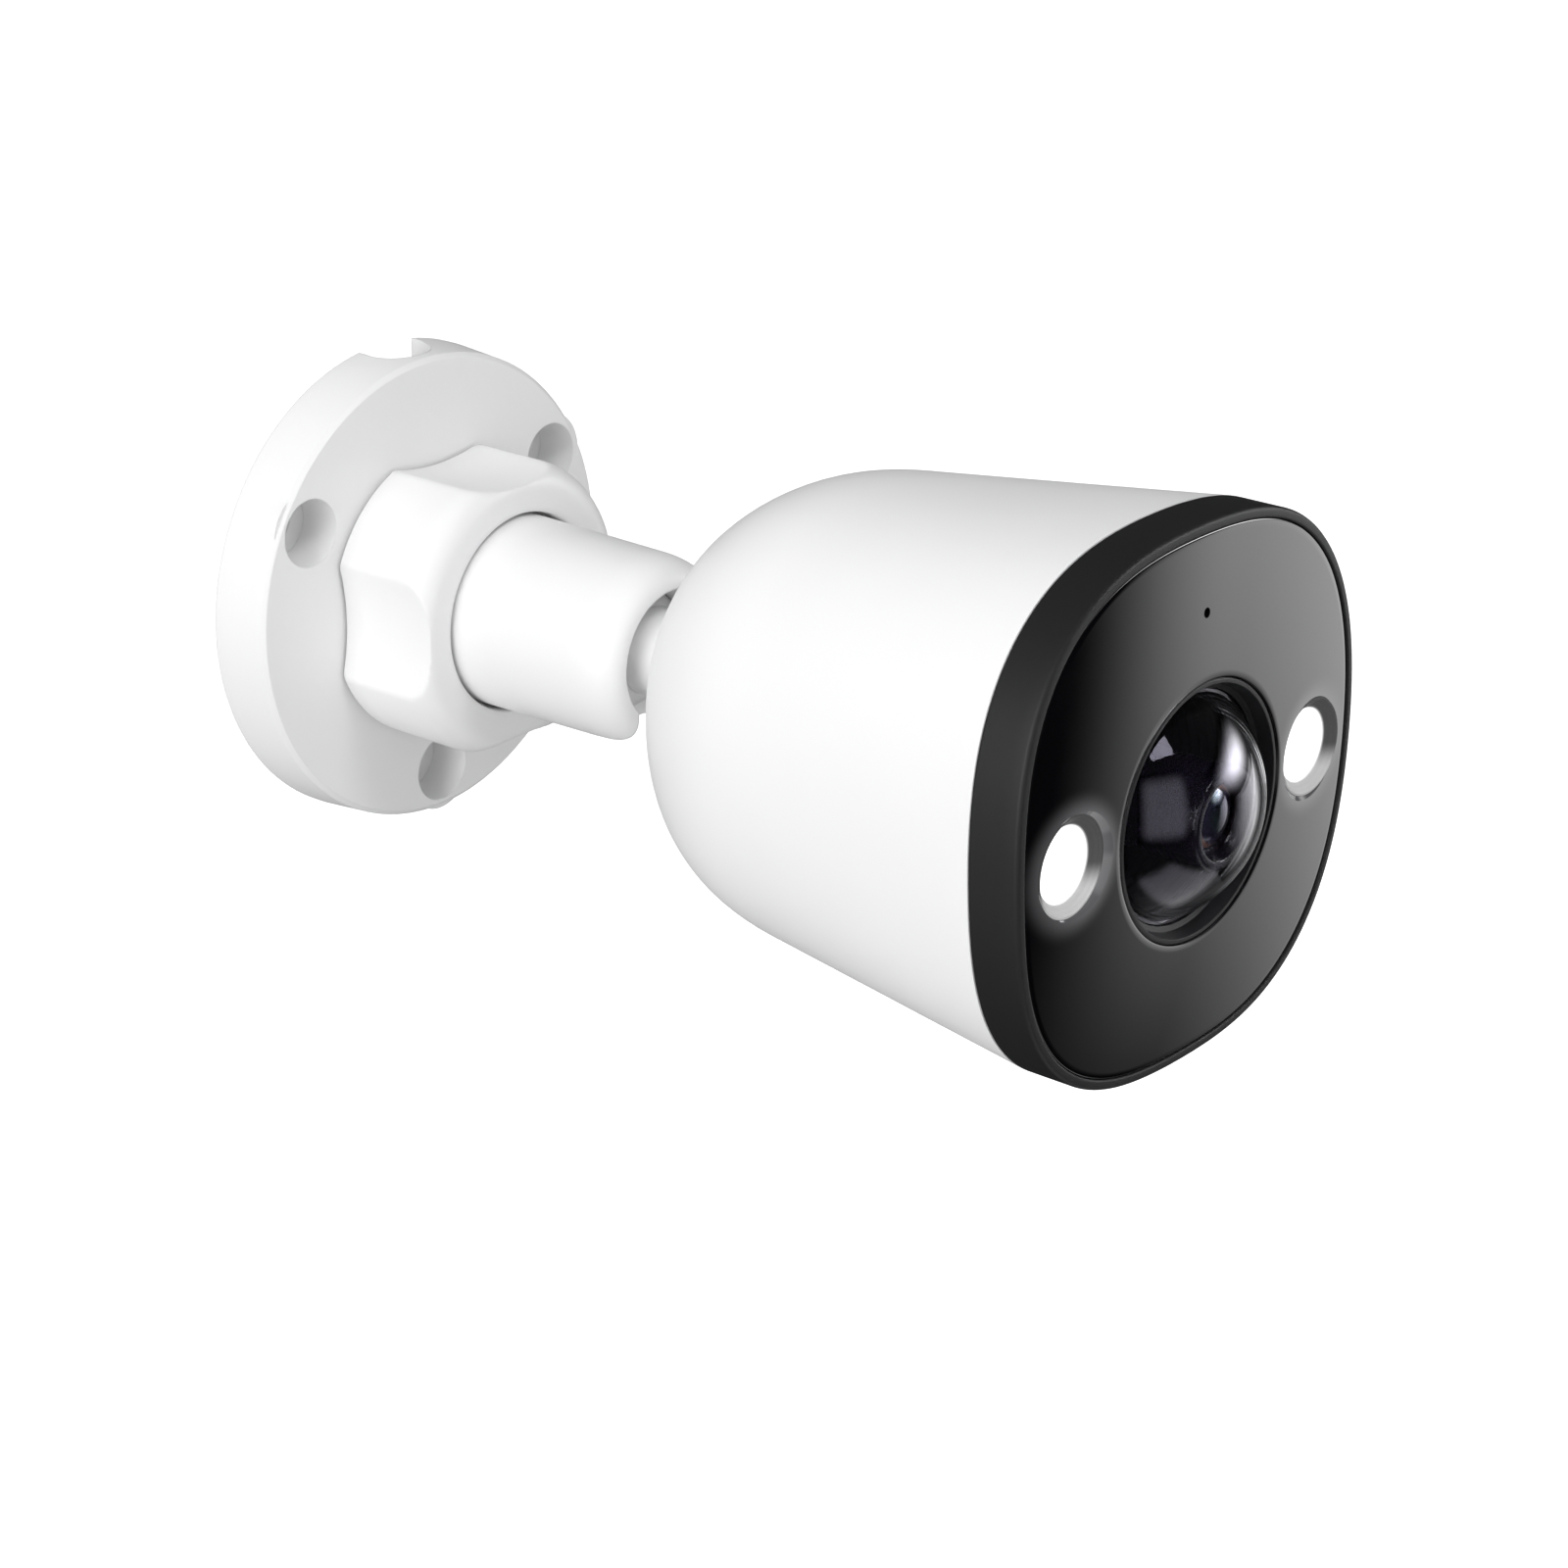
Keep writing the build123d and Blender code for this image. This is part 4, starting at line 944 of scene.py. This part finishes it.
@dataclass
class WallBracket:
    """The wall plate, its washers, the fluted lock ring and the stub arm."""

    ring_radius: float = 22.6
    ring_start: float = 9.9
    ring_end: float = 27.5
    ring_hole: float = 15.2
    ring_shoulder: float = 24.0
    ring_bore: float = 19.01
    flange_bore: float = 17.9
    flange_start: float = 20.1
    shoulder_round: float = 4.0
    chamfer: float = 0.4

    def build(self, shop: Workshop) -> None:
        """Make every piece of the bracket."""
        shop.refine_all(wall_plate="wall_plate_moulding", arm="arm_moulding", ball_seat="ball_seat_moulding",
                        ball="joint_ball_turned", slip_washer="slip_washer_ring",
                        friction_washer="friction_washer_ring")
        self._lock_ring(shop)

    def _lock_ring(self, shop: Workshop) -> None:
        """Make the fluted lock ring from its turned blank."""
        first, last = self.ring_start + self.chamfer, self.ring_end - self.shoulder_round
        outer = [(self.ring_radius, first + (last - first) * k / 16) for k in range(16)]
        front = [(self.ring_radius - near, self.ring_end - far)
                 for near, far in quarter(self.shoulder_round, 12)]
        face = [(self.ring_radius - self.shoulder_round - k * 0.8, self.ring_end) for k in (1, 2, 3)]
        lip = [(self.ring_hole + 0.5, self.ring_end), (self.ring_hole + 0.15, self.ring_end - 0.15),
               (self.ring_hole, self.ring_end - 0.5), (self.ring_hole, self.ring_shoulder)]
        inside = [(self.flange_bore, self.ring_shoulder), (self.flange_bore, self.flange_start),
                  (self.ring_bore, self.flange_start), (self.ring_bore, first),
                  (self.ring_bore + self.chamfer, self.ring_start), (self.ring_radius - 2.9, self.ring_start),
                  (self.ring_radius - self.chamfer, self.ring_start)]
        blank = mesh_from("lock_ring_blank", lathe(outer + front + face + lip + inside, 256), 180)
        fluting = Fluting(count=4, radius=33.5, depth=3.1, outside=self.ring_radius, softness=0.3)
        mesh = fluting.rule().apply("lock_ring_fluted", blank, shop.material("ring_nut"), 40)
        shop.keep("lock_ring_fluted", mesh, "ring_nut")


@dataclass
class Body:
    """The camera's housing with its neck and service hatch."""

    upper_boss: float = 25.7  # how far the bezel's bosses stand from the middle, both ways
    lower_boss: float = 24.4
    seat: float = 141.2
    hatch_seat: float = 30.42

    def build(self, shop: Workshop) -> None:
        """Make every piece of the housing."""
        shop.refine("rear_shell", "rear_shell_moulding", 24.0)
        shop.refine_all(neck="neck_turned", access_cover="access_cover_moulding",
                        reset_button="reset_button_cap", neck_nut="neck_nut_hexagon")
        self._screws(shop)

    def _screws(self, shop: Workshop) -> None:
        """Make the screws of the hatch and the bezel."""
        low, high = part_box("cover_screws")
        middle = (low.x + high.x) / 2
        radius = (high.x - low.x) / 2
        seats = [Vector((middle, y, -self.hatch_seat * MM)) for y in (low.y + radius, high.y - radius)]
        screws = Screws(head_radius=radius / MM, head_height=1.05, shank_radius=1.2, shank_length=5.1)
        screws.build(shop, "cover_screw_pair", "cover_screws", seats, FACING_DOWN)
        corners = [(self.upper_boss, self.upper_boss), (-self.upper_boss, self.upper_boss),
                   (self.lower_boss, -self.lower_boss), (-self.lower_boss, -self.lower_boss)]
        seats = [Vector((x, -self.seat, z)) * MM for x, z in corners]
        screws = Screws(head_radius=2.2, head_height=1.6, shank_radius=1.2, shank_length=12.2)
        screws.build(shop, "bezel_screw_set", "bezel_screws", seats, FACING_OUT)


@dataclass
class Face:
    """The bezel, the gloss panel and the light windows."""

    mean: float = 39.8
    lift: float = 1.6
    oval: float = 0.4
    square: float = 1.55
    shell_front: float = 140.3
    apex: float = 149.8
    lip_rise: float = 0.25
    bulge: float = 375.0
    lip: float = 1.5
    seat: float = 145.4  # where the panel's tape lies on the bezel's ledge
    ledge: tuple[float, float] = (4.5, 143.4)  # its inset and the station of its back
    wall: tuple[float, float] = (2.6, 141.1)
    tongue: tuple[float, float] = (2.45, 3.6)  # the insets of its two sides
    tongue_end: float = 138.4
    panel_back: float = 145.8
    lens_opening: float = 18.2
    throat: float = 5.4
    mouth: float = 7.6
    throat_station: float = 146.9
    mouth_station: float = 149.0
    mic_height: float = 27.5
    mic_radius: float = 0.7
    outer_round: float = 0.55
    inner_round: float = 0.22
    panel_round: float = 0.25
    gap: float = 0.08
    steps: int = 288
    rings: int = 26

    def outline(self, inset: float) -> list[tuple[float, float]]:
        """Return the x and z of the face's outline, a rounded square narrower below, moved in by an inset."""
        row = []
        for step in range(self.steps):
            angle = 2 * math.pi * step / self.steps
            radius = (self.mean + self.lift * math.sin(angle) + self.oval * math.cos(2 * angle)
                      - self.square * math.cos(4 * angle) - inset)
            row.append((radius * math.cos(angle), radius * math.sin(angle)))
        return row

    def crown(self, x: float, z: float, apex: float) -> float:
        """Return the station of the domed front at a place."""
        return apex - self.bulge + math.sqrt(self.bulge ** 2 - x * x - z * z)

    def flare(self, station: float) -> float:
        """Return the radius of a light window's flared opening at a station."""
        slope = (self.mouth - self.throat) / (self.mouth_station - self.throat_station)
        return self.throat + slope * (station - self.throat_station)

    def row(self, inset: float, station: float | None, apex: float, drop: float = 0.0) -> list[Vector]:
        """Return one row of points, at a station or, if that is None, `drop` behind the domed front."""
        points = []
        for x, z in self.outline(inset):
            at = self.crown(x, z, apex) - drop if station is None else station
            points.append(Vector((x, -at, z)) * MM)
        return points

    def build(self, shop: Workshop) -> None:
        """Make every piece of the face."""
        self._bezel(shop)
        self._panel(shop)
        self._windows(shop)

    def _bezel(self, shop: Workshop) -> None:
        """Make the matt band with its rounded lip and the tongue that enters the shell."""
        apex = self.apex + self.lip_rise
        rows = [self.row(0.25, self.shell_front, apex), self.row(0.0, self.shell_front + 0.3, apex)]
        rows += [self.row(0.0, station, apex) for station in (142.0, 144.0, self.seat)]
        rows += [self.row(near, None, apex, far) for near, far in quarter(self.outer_round, 6)]
        rows += [self.row(self.lip - far, None, apex, near) for near, far in quarter(self.inner_round, 4)]
        ledge_inset, ledge_back = self.ledge
        wall_inset, wall_end = self.wall
        outer, inner = self.tongue
        for inset, station in ((self.lip, self.seat), (ledge_inset, self.seat), (ledge_inset, ledge_back),
                               (wall_inset, ledge_back), (wall_inset, wall_end), (inner, wall_end),
                               (inner, self.tongue_end), (outer, self.tongue_end), (outer, self.shell_front)):
            rows.append(self.row(inset, station, apex))
        shop.make("bezel_band", swept(rows), 38, "bezel")

    def _panel(self, shop: Workshop) -> None:
        """Make the domed gloss panel with its openings."""
        edge = self.lip + self.gap
        soft = self.panel_round
        rows = [self.row(edge, self.panel_back, self.apex)]
        rows += [self.row(edge + near, None, self.apex, far) for near, far in quarter(soft, 4)]
        start = rows[-1]
        for ring in range(1, self.rings + 1):
            share = ring / self.rings
            row = []
            for point in start:
                x, z = point.x / MM, point.z / MM
                radius = math.hypot(x, z)
                wanted = radius + (self.lens_opening + soft - radius) * share
                x, z = x * wanted / radius, z * wanted / radius
                row.append(Vector((x, -self.crown(x, z, self.apex), z)) * MM)
            rows.append(row)
        last = rows[-1]
        for radius, drop in ((self.lens_opening + 0.07, 0.07), (self.lens_opening, soft)):
            rows.append([self._at_radius(p, radius, drop, None) for p in last])
        rows.append([self._at_radius(p, self.lens_opening, 0.0, self.panel_back) for p in last])
        mesh = mesh_from("gloss_panel_domed", swept(rows), 32)
        holder = linked("panel_blank", mesh)
        places = [(side * SPOT_OFFSET, SPOT_HEIGHT) for side in (-1, 1)]
        back, ahead = self.panel_back - 1, self.apex + 2
        tools = [lathe(((0, back), (self.throat, back), (self.throat, self.throat_station),
                        (self.flare(ahead), ahead), (0, ahead)), 96, place) for place in places]
        hole = ((0, back), (self.mic_radius, back), (self.mic_radius, ahead), (0, ahead))
        tools.append(lathe(hole, 32, (0.0, self.mic_height)))
        cut(holder, tools)
        form = bmesh.new()
        form.from_mesh(holder.data)
        bpy.data.objects.remove(holder)
        shop.make("gloss_panel_domed", form, 32, "front_panel")

    def _at_radius(self, point: Vector, radius: float, drop: float, station: float | None) -> Vector:
        """Return a point moved to a radius, at a station or `drop` behind the domed front."""
        angle = math.atan2(point.z, point.x)
        x, z = radius * math.cos(angle), radius * math.sin(angle)
        at = self.crown(x, z, self.apex) - drop if station is None else station
        return Vector((x, -at, z)) * MM

    def _windows(self, shop: Workshop) -> None:
        """Make the two light windows, each with a flared rim."""
        both = bmesh.new()
        for side in (-1, 1):
            x = side * SPOT_OFFSET
            top = self.crown(x, 0.0, self.apex) - 0.35
            edge = self.flare(top)
            crowned = [(r, self.throat_station + 0.45 * (1 - (r / 5.0) ** 2)) for r in (5, 4, 3, 2, 1, 0)]
            outline = [(0, 142.4), (2.8, 142.0), (2.8, 140.4), (5.9, 140.4), (5.9, 145.75), (5.25, 145.75),
                       (5.25, self.throat_station - 0.1), (edge - 0.08, top), (edge - 0.35, top),
                       (5.1, self.throat_station + 0.05)] + crowned
            part = mesh_from("window_part", lathe(outline, 96, (x, SPOT_HEIGHT)), 35)
            both.from_mesh(part)
        shop.make("light_windows", both, 35, "light_lenses")


@dataclass
class Optics:
    """The glass dome, its dark ring and the lens behind it."""

    apex: float = 156.2
    dome_radius: float = 17.5
    base: float = 15.6
    seat: float = 145.0
    glass: float = 1.2
    barrel_front: float = 153.0
    rim_depth: float = 2.3
    grip_radius: float = 7.0
    grip_start: float = 138.6
    grip_pitch: float = 0.45
    grip_points: int = 24
    cup_floor: float = 130.4
    cup_mouth: float = 144.3
    cup_steps: int = 9

    def build(self, shop: Workshop) -> None:
        """Make every piece of the optics."""
        self._dome(shop)
        shop.refine("lens_ring", "lens_ring_cone")
        self._barrel(shop)
        self._cup(shop)
        shop.refine_all(front_element="front_element_polished", dome_seal="dome_seal_ring",
                        lens_spacer="lens_spacer_tube", rear_element="rear_element_polished")

    def _arc(self, radius: float, start: float, end: float, steps: int) -> list[tuple[float, float]]:
        """Return points of an arc about the dome's centre, between two angles from the axis."""
        centre = self.apex - self.dome_radius
        points = []
        for step in range(steps + 1):
            angle = start + (end - start) * step / steps
            points.append((radius * math.sin(angle), centre + radius * math.cos(angle)))
        return points

    def _dome(self, shop: Workshop) -> None:
        """Make the bulging window as two concentric polished skins."""
        inner = self.dome_radius - self.glass
        centre = self.apex - self.dome_radius
        outer_end = math.asin(self.base / self.dome_radius)
        inner_end = math.acos((self.seat - centre) / inner)
        outline = self._arc(self.dome_radius, 0.0, outer_end, 28)
        shoulder = outline[-1][1]
        outline += [(16.0, shoulder), (16.0, self.seat)]
        outline += self._arc(inner, inner_end, 0.0, 28)
        shop.make("lens_dome_glass", lathe(outline, 160), 40, "lens_dome")

    def _barrel(self, shop: Workshop) -> None:
        """Make the lens barrel with its stepped nose and grip grooves."""
        nose = self.barrel_front
        outline = [(6.2, 118.2), (9.0, 118.2), (9.0, 136.5), (self.grip_radius, 138.0)]
        outline += [(self.grip_radius - 0.12 * (k % 2), self.grip_start + self.grip_pitch * k)
                    for k in range(self.grip_points)]
        outline += [(self.grip_radius, nose - 0.4), (6.6, nose), (5.6, nose)]
        outline += [(5.6 - 0.3 * k, nose - 0.1 - 0.4 * k) for k in range(1, 4)]
        outline += [(4.7, nose - self.rim_depth), (6.2, nose - self.rim_depth)]
        shop.make("lens_barrel_grooved", lathe(rounded(outline, 0.15, 2)), 35, "lens_barrel")

    def _cup(self, shop: Workshop) -> None:
        """Make the dark cup round the lens, stepped inside so that it swallows stray light."""
        depth = (self.cup_mouth - self.cup_floor) / self.cup_steps
        steps = []
        for k in range(self.cup_steps):
            low = self.cup_floor + depth * k
            steps += [(14.40, low), (14.85, low + depth * 0.8)]
        outline = [(9.1, 130.0), (14.3, 130.0)] + steps + [
            (14.4, self.cup_mouth), (16.1, self.cup_mouth), (16.1, 145.8), (19.6, 145.8), (19.6, 139.0),
            (17.5, 139.0), (17.5, 128.0), (9.1, 128.0)]
        shop.make("lens_cup_stepped", lathe(outline), 35, "lens_cup")


@dataclass
class Electronics:
    """The boards, the chassis and what is fixed to them."""

    post: float = 17.0
    sensor_post: float = 12.0
    chassis_front: float = 105.0
    sensor_front: float = 108.2

    def build(self, shop: Workshop) -> None:
        """Make the screws of the boards."""
        square = [(1, 1), (-1, 1), (1, -1), (-1, -1)]
        seats = [Vector((x * self.post, -self.chassis_front, z * self.post)) * MM for x, z in square]
        screws = Screws(head_radius=2.2, head_height=1.7, shank_radius=1.2, shank_length=22.0)
        screws.build(shop, "chassis_screw_set", "chassis_screws", seats, FACING_OUT)
        seats = [Vector((x * self.sensor_post, -self.sensor_front, z * self.sensor_post)) * MM
                 for x, z in square]
        screws = Screws(head_radius=1.5, head_height=0.9, shank_radius=0.8, shank_length=4.4, pitch=0.4)
        screws.build(shop, "sensor_screw_set", "sensor_screws", seats, FACING_OUT)
        shop.refine_all(loudspeaker="loudspeaker_can", lens_holder="lens_holder_moulding")


# ---------------------------------------------------------------- studio
@dataclass
class ViewPoint:
    """The camera's place: it looks at an aim point from an azimuth and an elevation, slightly rolled."""

    azimuth: float = -50.37
    elevation: float = 21.75
    roll: float = 0.37
    distance: float = 597.5
    aim_right: float = 60.16
    aim_down: float = 32.36
    lens: float = 89.2
    sensor: float = 36.0

    def build(self) -> None:
        """Make the camera and choose it."""
        turn, rise, tip = (math.radians(a) for a in (self.azimuth, self.elevation, self.roll))
        back = Vector((math.sin(turn) * math.cos(rise), -math.cos(turn) * math.cos(rise), math.sin(rise)))
        level = Vector((math.cos(turn), math.sin(turn), 0.0))
        upright = back.cross(level)
        right = level * math.cos(tip) + upright * math.sin(tip)
        up = back.cross(right)
        data = bpy.data.cameras.new("view_camera")
        data.lens = self.lens
        data.sensor_width = self.sensor
        data.clip_start = 0.01
        data.clip_end = 50.0
        view = linked("view_camera", data)
        basis = Matrix((right, up, back)).transposed().to_4x4()
        basis.translation = (right * self.aim_right - up * self.aim_down + back * self.distance) * MM
        view.matrix_world = basis
        bpy.context.scene.camera = view


@dataclass(frozen=True)
class Card:
    """A lit card that only gloss surfaces mirror, given by the direction it stands in and its grading."""

    name: str
    azimuth: float
    elevation: float
    half_width: float
    half_height: float
    level: float
    round: bool = False
    soft: float = 0.3


@dataclass
class Studio:
    """A pale floor, soft lamps, and lit cards for the gloss surfaces to mirror."""

    floor_drop: float = 0.36
    ambient_above: float = 0.54
    ambient_below: float = 0.60
    mirror_level: float = 0.035
    card_distance: float = 1.2

    def build(self) -> None:
        """Make the floor, the lamps and the surroundings."""
        self._floor()
        self._world()
        self._lamp("key_lamp", (-1.15, -0.15, 0.25), size=0.9, power=9.0, glossy=True)
        self._lamp("front_lamp", (-0.20, -0.75, 1.15), size=0.5, power=5.0, glossy=False)
        self._panel_card()
        for card in (Card("spot_card", -35.0, 12.0, 0.90, 0.36, 10.0, round=True),
                     Card("left_card", -118.0, 6.0, 0.55, 0.75, 0.75, soft=0.25),
                     Card("low_card", -68.0, -64.0, 0.75, 0.40, 0.60, soft=0.20)):
            self._soft_card(card)
        bpy.context.scene.view_settings.view_transform = "Standard"

    def _floor(self) -> None:
        """Make the pale floor, which lights nothing by itself: the surroundings do that."""
        form = bmesh.new()
        bmesh.ops.create_grid(form, x_segments=8, y_segments=8, size=9.0)
        bmesh.ops.translate(form, verts=form.verts, vec=(0, 0, -self.floor_drop))
        floor = linked("floor", mesh_from("floor", form, 30))
        material, graph = empty_material("pale_floor")
        graph.output(graph.surface({
            "Base Color": (0.9, 0.9, 0.9, 1.0),
            "Roughness": 0.9,
            "Specular IOR Level": 0.0,
            "Emission Color": (1.0, 1.0, 1.0, 1.0),
            "Emission Strength": 0.75}))
        floor.data.materials.append(material)
        floor.visible_glossy = False
        floor.visible_diffuse = False
        floor.visible_transmission = False

    def _world(self) -> None:
        """Make the surroundings: white to look at, mild as a lamp, dim in mirrors and through glass."""
        world = bpy.data.worlds.new("surroundings")
        bpy.context.scene.world = world
        world.use_nodes = True
        world.node_tree.nodes.clear()
        graph = Graph(world.node_tree)
        path = graph.node("ShaderNodeLightPath")
        seen = graph.number(path, "Is Camera Ray")
        dimmed = graph.math("MAXIMUM", graph.number(path, "Is Glossy Ray"),
                            graph.number(path, "Is Transmission Ray"))
        _, _, height = graph.axes(graph.node("ShaderNodeTexCoord").outputs["Generated"])
        below = 1 - height.step(-0.8, 0.6)
        ambient = self.ambient_above + below * (self.ambient_below - self.ambient_above)
        level = seen + (1 - seen) * (dimmed * self.mirror_level + (1 - dimmed) * ambient)
        light = graph.node("ShaderNodeBackground", None, {"Color": (1.0, 1.0, 1.0, 1.0), "Strength": level})
        graph.node("ShaderNodeOutputWorld", None, {"Surface": light.outputs[0]})

    @staticmethod
    def _lamp(name: str, place: tuple[float, float, float], size: float, power: float, glossy: bool) -> None:
        """Make a square soft lamp that points at the camera's body.

        Args:
            name: The lamp's name.
            place: Where it stands, in metres.
            size: Its width, in metres.
            power: Its power, in watts.
            glossy: Whether gloss surfaces mirror it.
        """
        data = bpy.data.lights.new(name, "AREA")
        data.size = size
        data.energy = power
        lamp = linked(name, data)
        lamp.location = place
        aim = Vector((0.0, -0.09, 0.0)) - Vector(place)
        lamp.rotation_mode = "QUATERNION"
        lamp.rotation_quaternion = aim.to_track_quat("-Z", "Y")
        lamp.visible_camera = False
        lamp.visible_glossy = glossy

    def _sheet(self, card: Card) -> tuple[Graph, Value, Value]:
        """Make a card's mesh.

        Args:
            card: Where it stands.

        Returns:
            The graph of its material and its two coordinates from 0 to 1, along the horizon and upward.
        """
        turn, rise = math.radians(card.azimuth), math.radians(card.elevation)
        ahead = Vector((math.cos(turn) * math.cos(rise), math.sin(turn) * math.cos(rise), math.sin(rise)))
        right = Vector((-math.sin(turn), math.cos(turn), 0.0))
        up = ahead.cross(right)
        centre = Vector((0.0, -0.15, 0.0)) + ahead * self.card_distance
        form = bmesh.new()
        corners = ((0, 0), (1, 0), (1, 1), (0, 1))
        across, upward = right * card.half_width, up * card.half_height
        loop = [form.verts.new(centre + across * (2 * u - 1) + upward * (2 * v - 1)) for u, v in corners]
        face = form.faces.new(loop)
        layer = form.loops.layers.uv.new("grade")
        for corner, uv in zip(face.loops, corners):
            corner[layer].uv = uv
        sheet = linked(card.name, mesh_from(card.name, form, 30))
        material, graph = empty_material(card.name)
        sheet.data.materials.append(material)
        sheet.visible_camera = False
        sheet.visible_diffuse = False
        sheet.visible_shadow = False
        u, v, _ = graph.axes(graph.node("ShaderNodeUVMap", {"uv_map": "grade"}).outputs[0])
        return graph, u, v

    @staticmethod
    def _light(graph: Graph, level: Value) -> None:
        """Make a card shine by a graded level."""
        light = graph.node("ShaderNodeEmission", None, {"Color": (1.0, 1.0, 1.0, 1.0), "Strength": level})
        graph.output(light.outputs[0])

    def _panel_card(self) -> None:
        """Make the card whose lower left corner fades out across the gloss panel, as does its right edge."""
        card = Card("panel_card", -31.0, -20.0, 0.6, 0.6, 1.5)
        graph, u, v = self._sheet(card)
        beyond = graph.math("MAXIMUM", u - 0.5, 0.0)
        inner = 1 - u.step(0.80, 1.0)
        self._light(graph, u.step(0.22, 0.47) * inner * (v + beyond * 0.5).step(0.16, 0.80) * card.level)

    def _soft_card(self, card: Card) -> None:
        """Make a card with soft edges, round or square."""
        graph, u, v = self._sheet(card)
        if card.round:
            away = graph.math("SQRT", (u - 0.5) ** 2 + (v - 0.5) ** 2) * 2
            level = (1 - away.step(0.0, 1.0)) ** 2.0
        else:
            level = (u.step(0.0, card.soft) * (1 - u.step(1 - card.soft, 1.0))
                     * v.step(0.0, card.soft) * (1 - v.step(1 - card.soft, 1.0)))
        self._light(graph, level * card.level)


def main() -> None:
    """Build the camera on its frame, in its studio."""
    logging.basicConfig(level=logging.INFO, format="%(message)s")
    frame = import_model()
    shop = Workshop(frame)
    ViewPoint().build()
    Studio().build()
    for assembly in (WallBracket(), Body(), Face(), Optics(), Electronics()):
        assembly.build(shop)
    for node in sorted(set(shop.nodes) - shop.done):
        shop.dress(node)


if __name__ == "__main__":
    main()
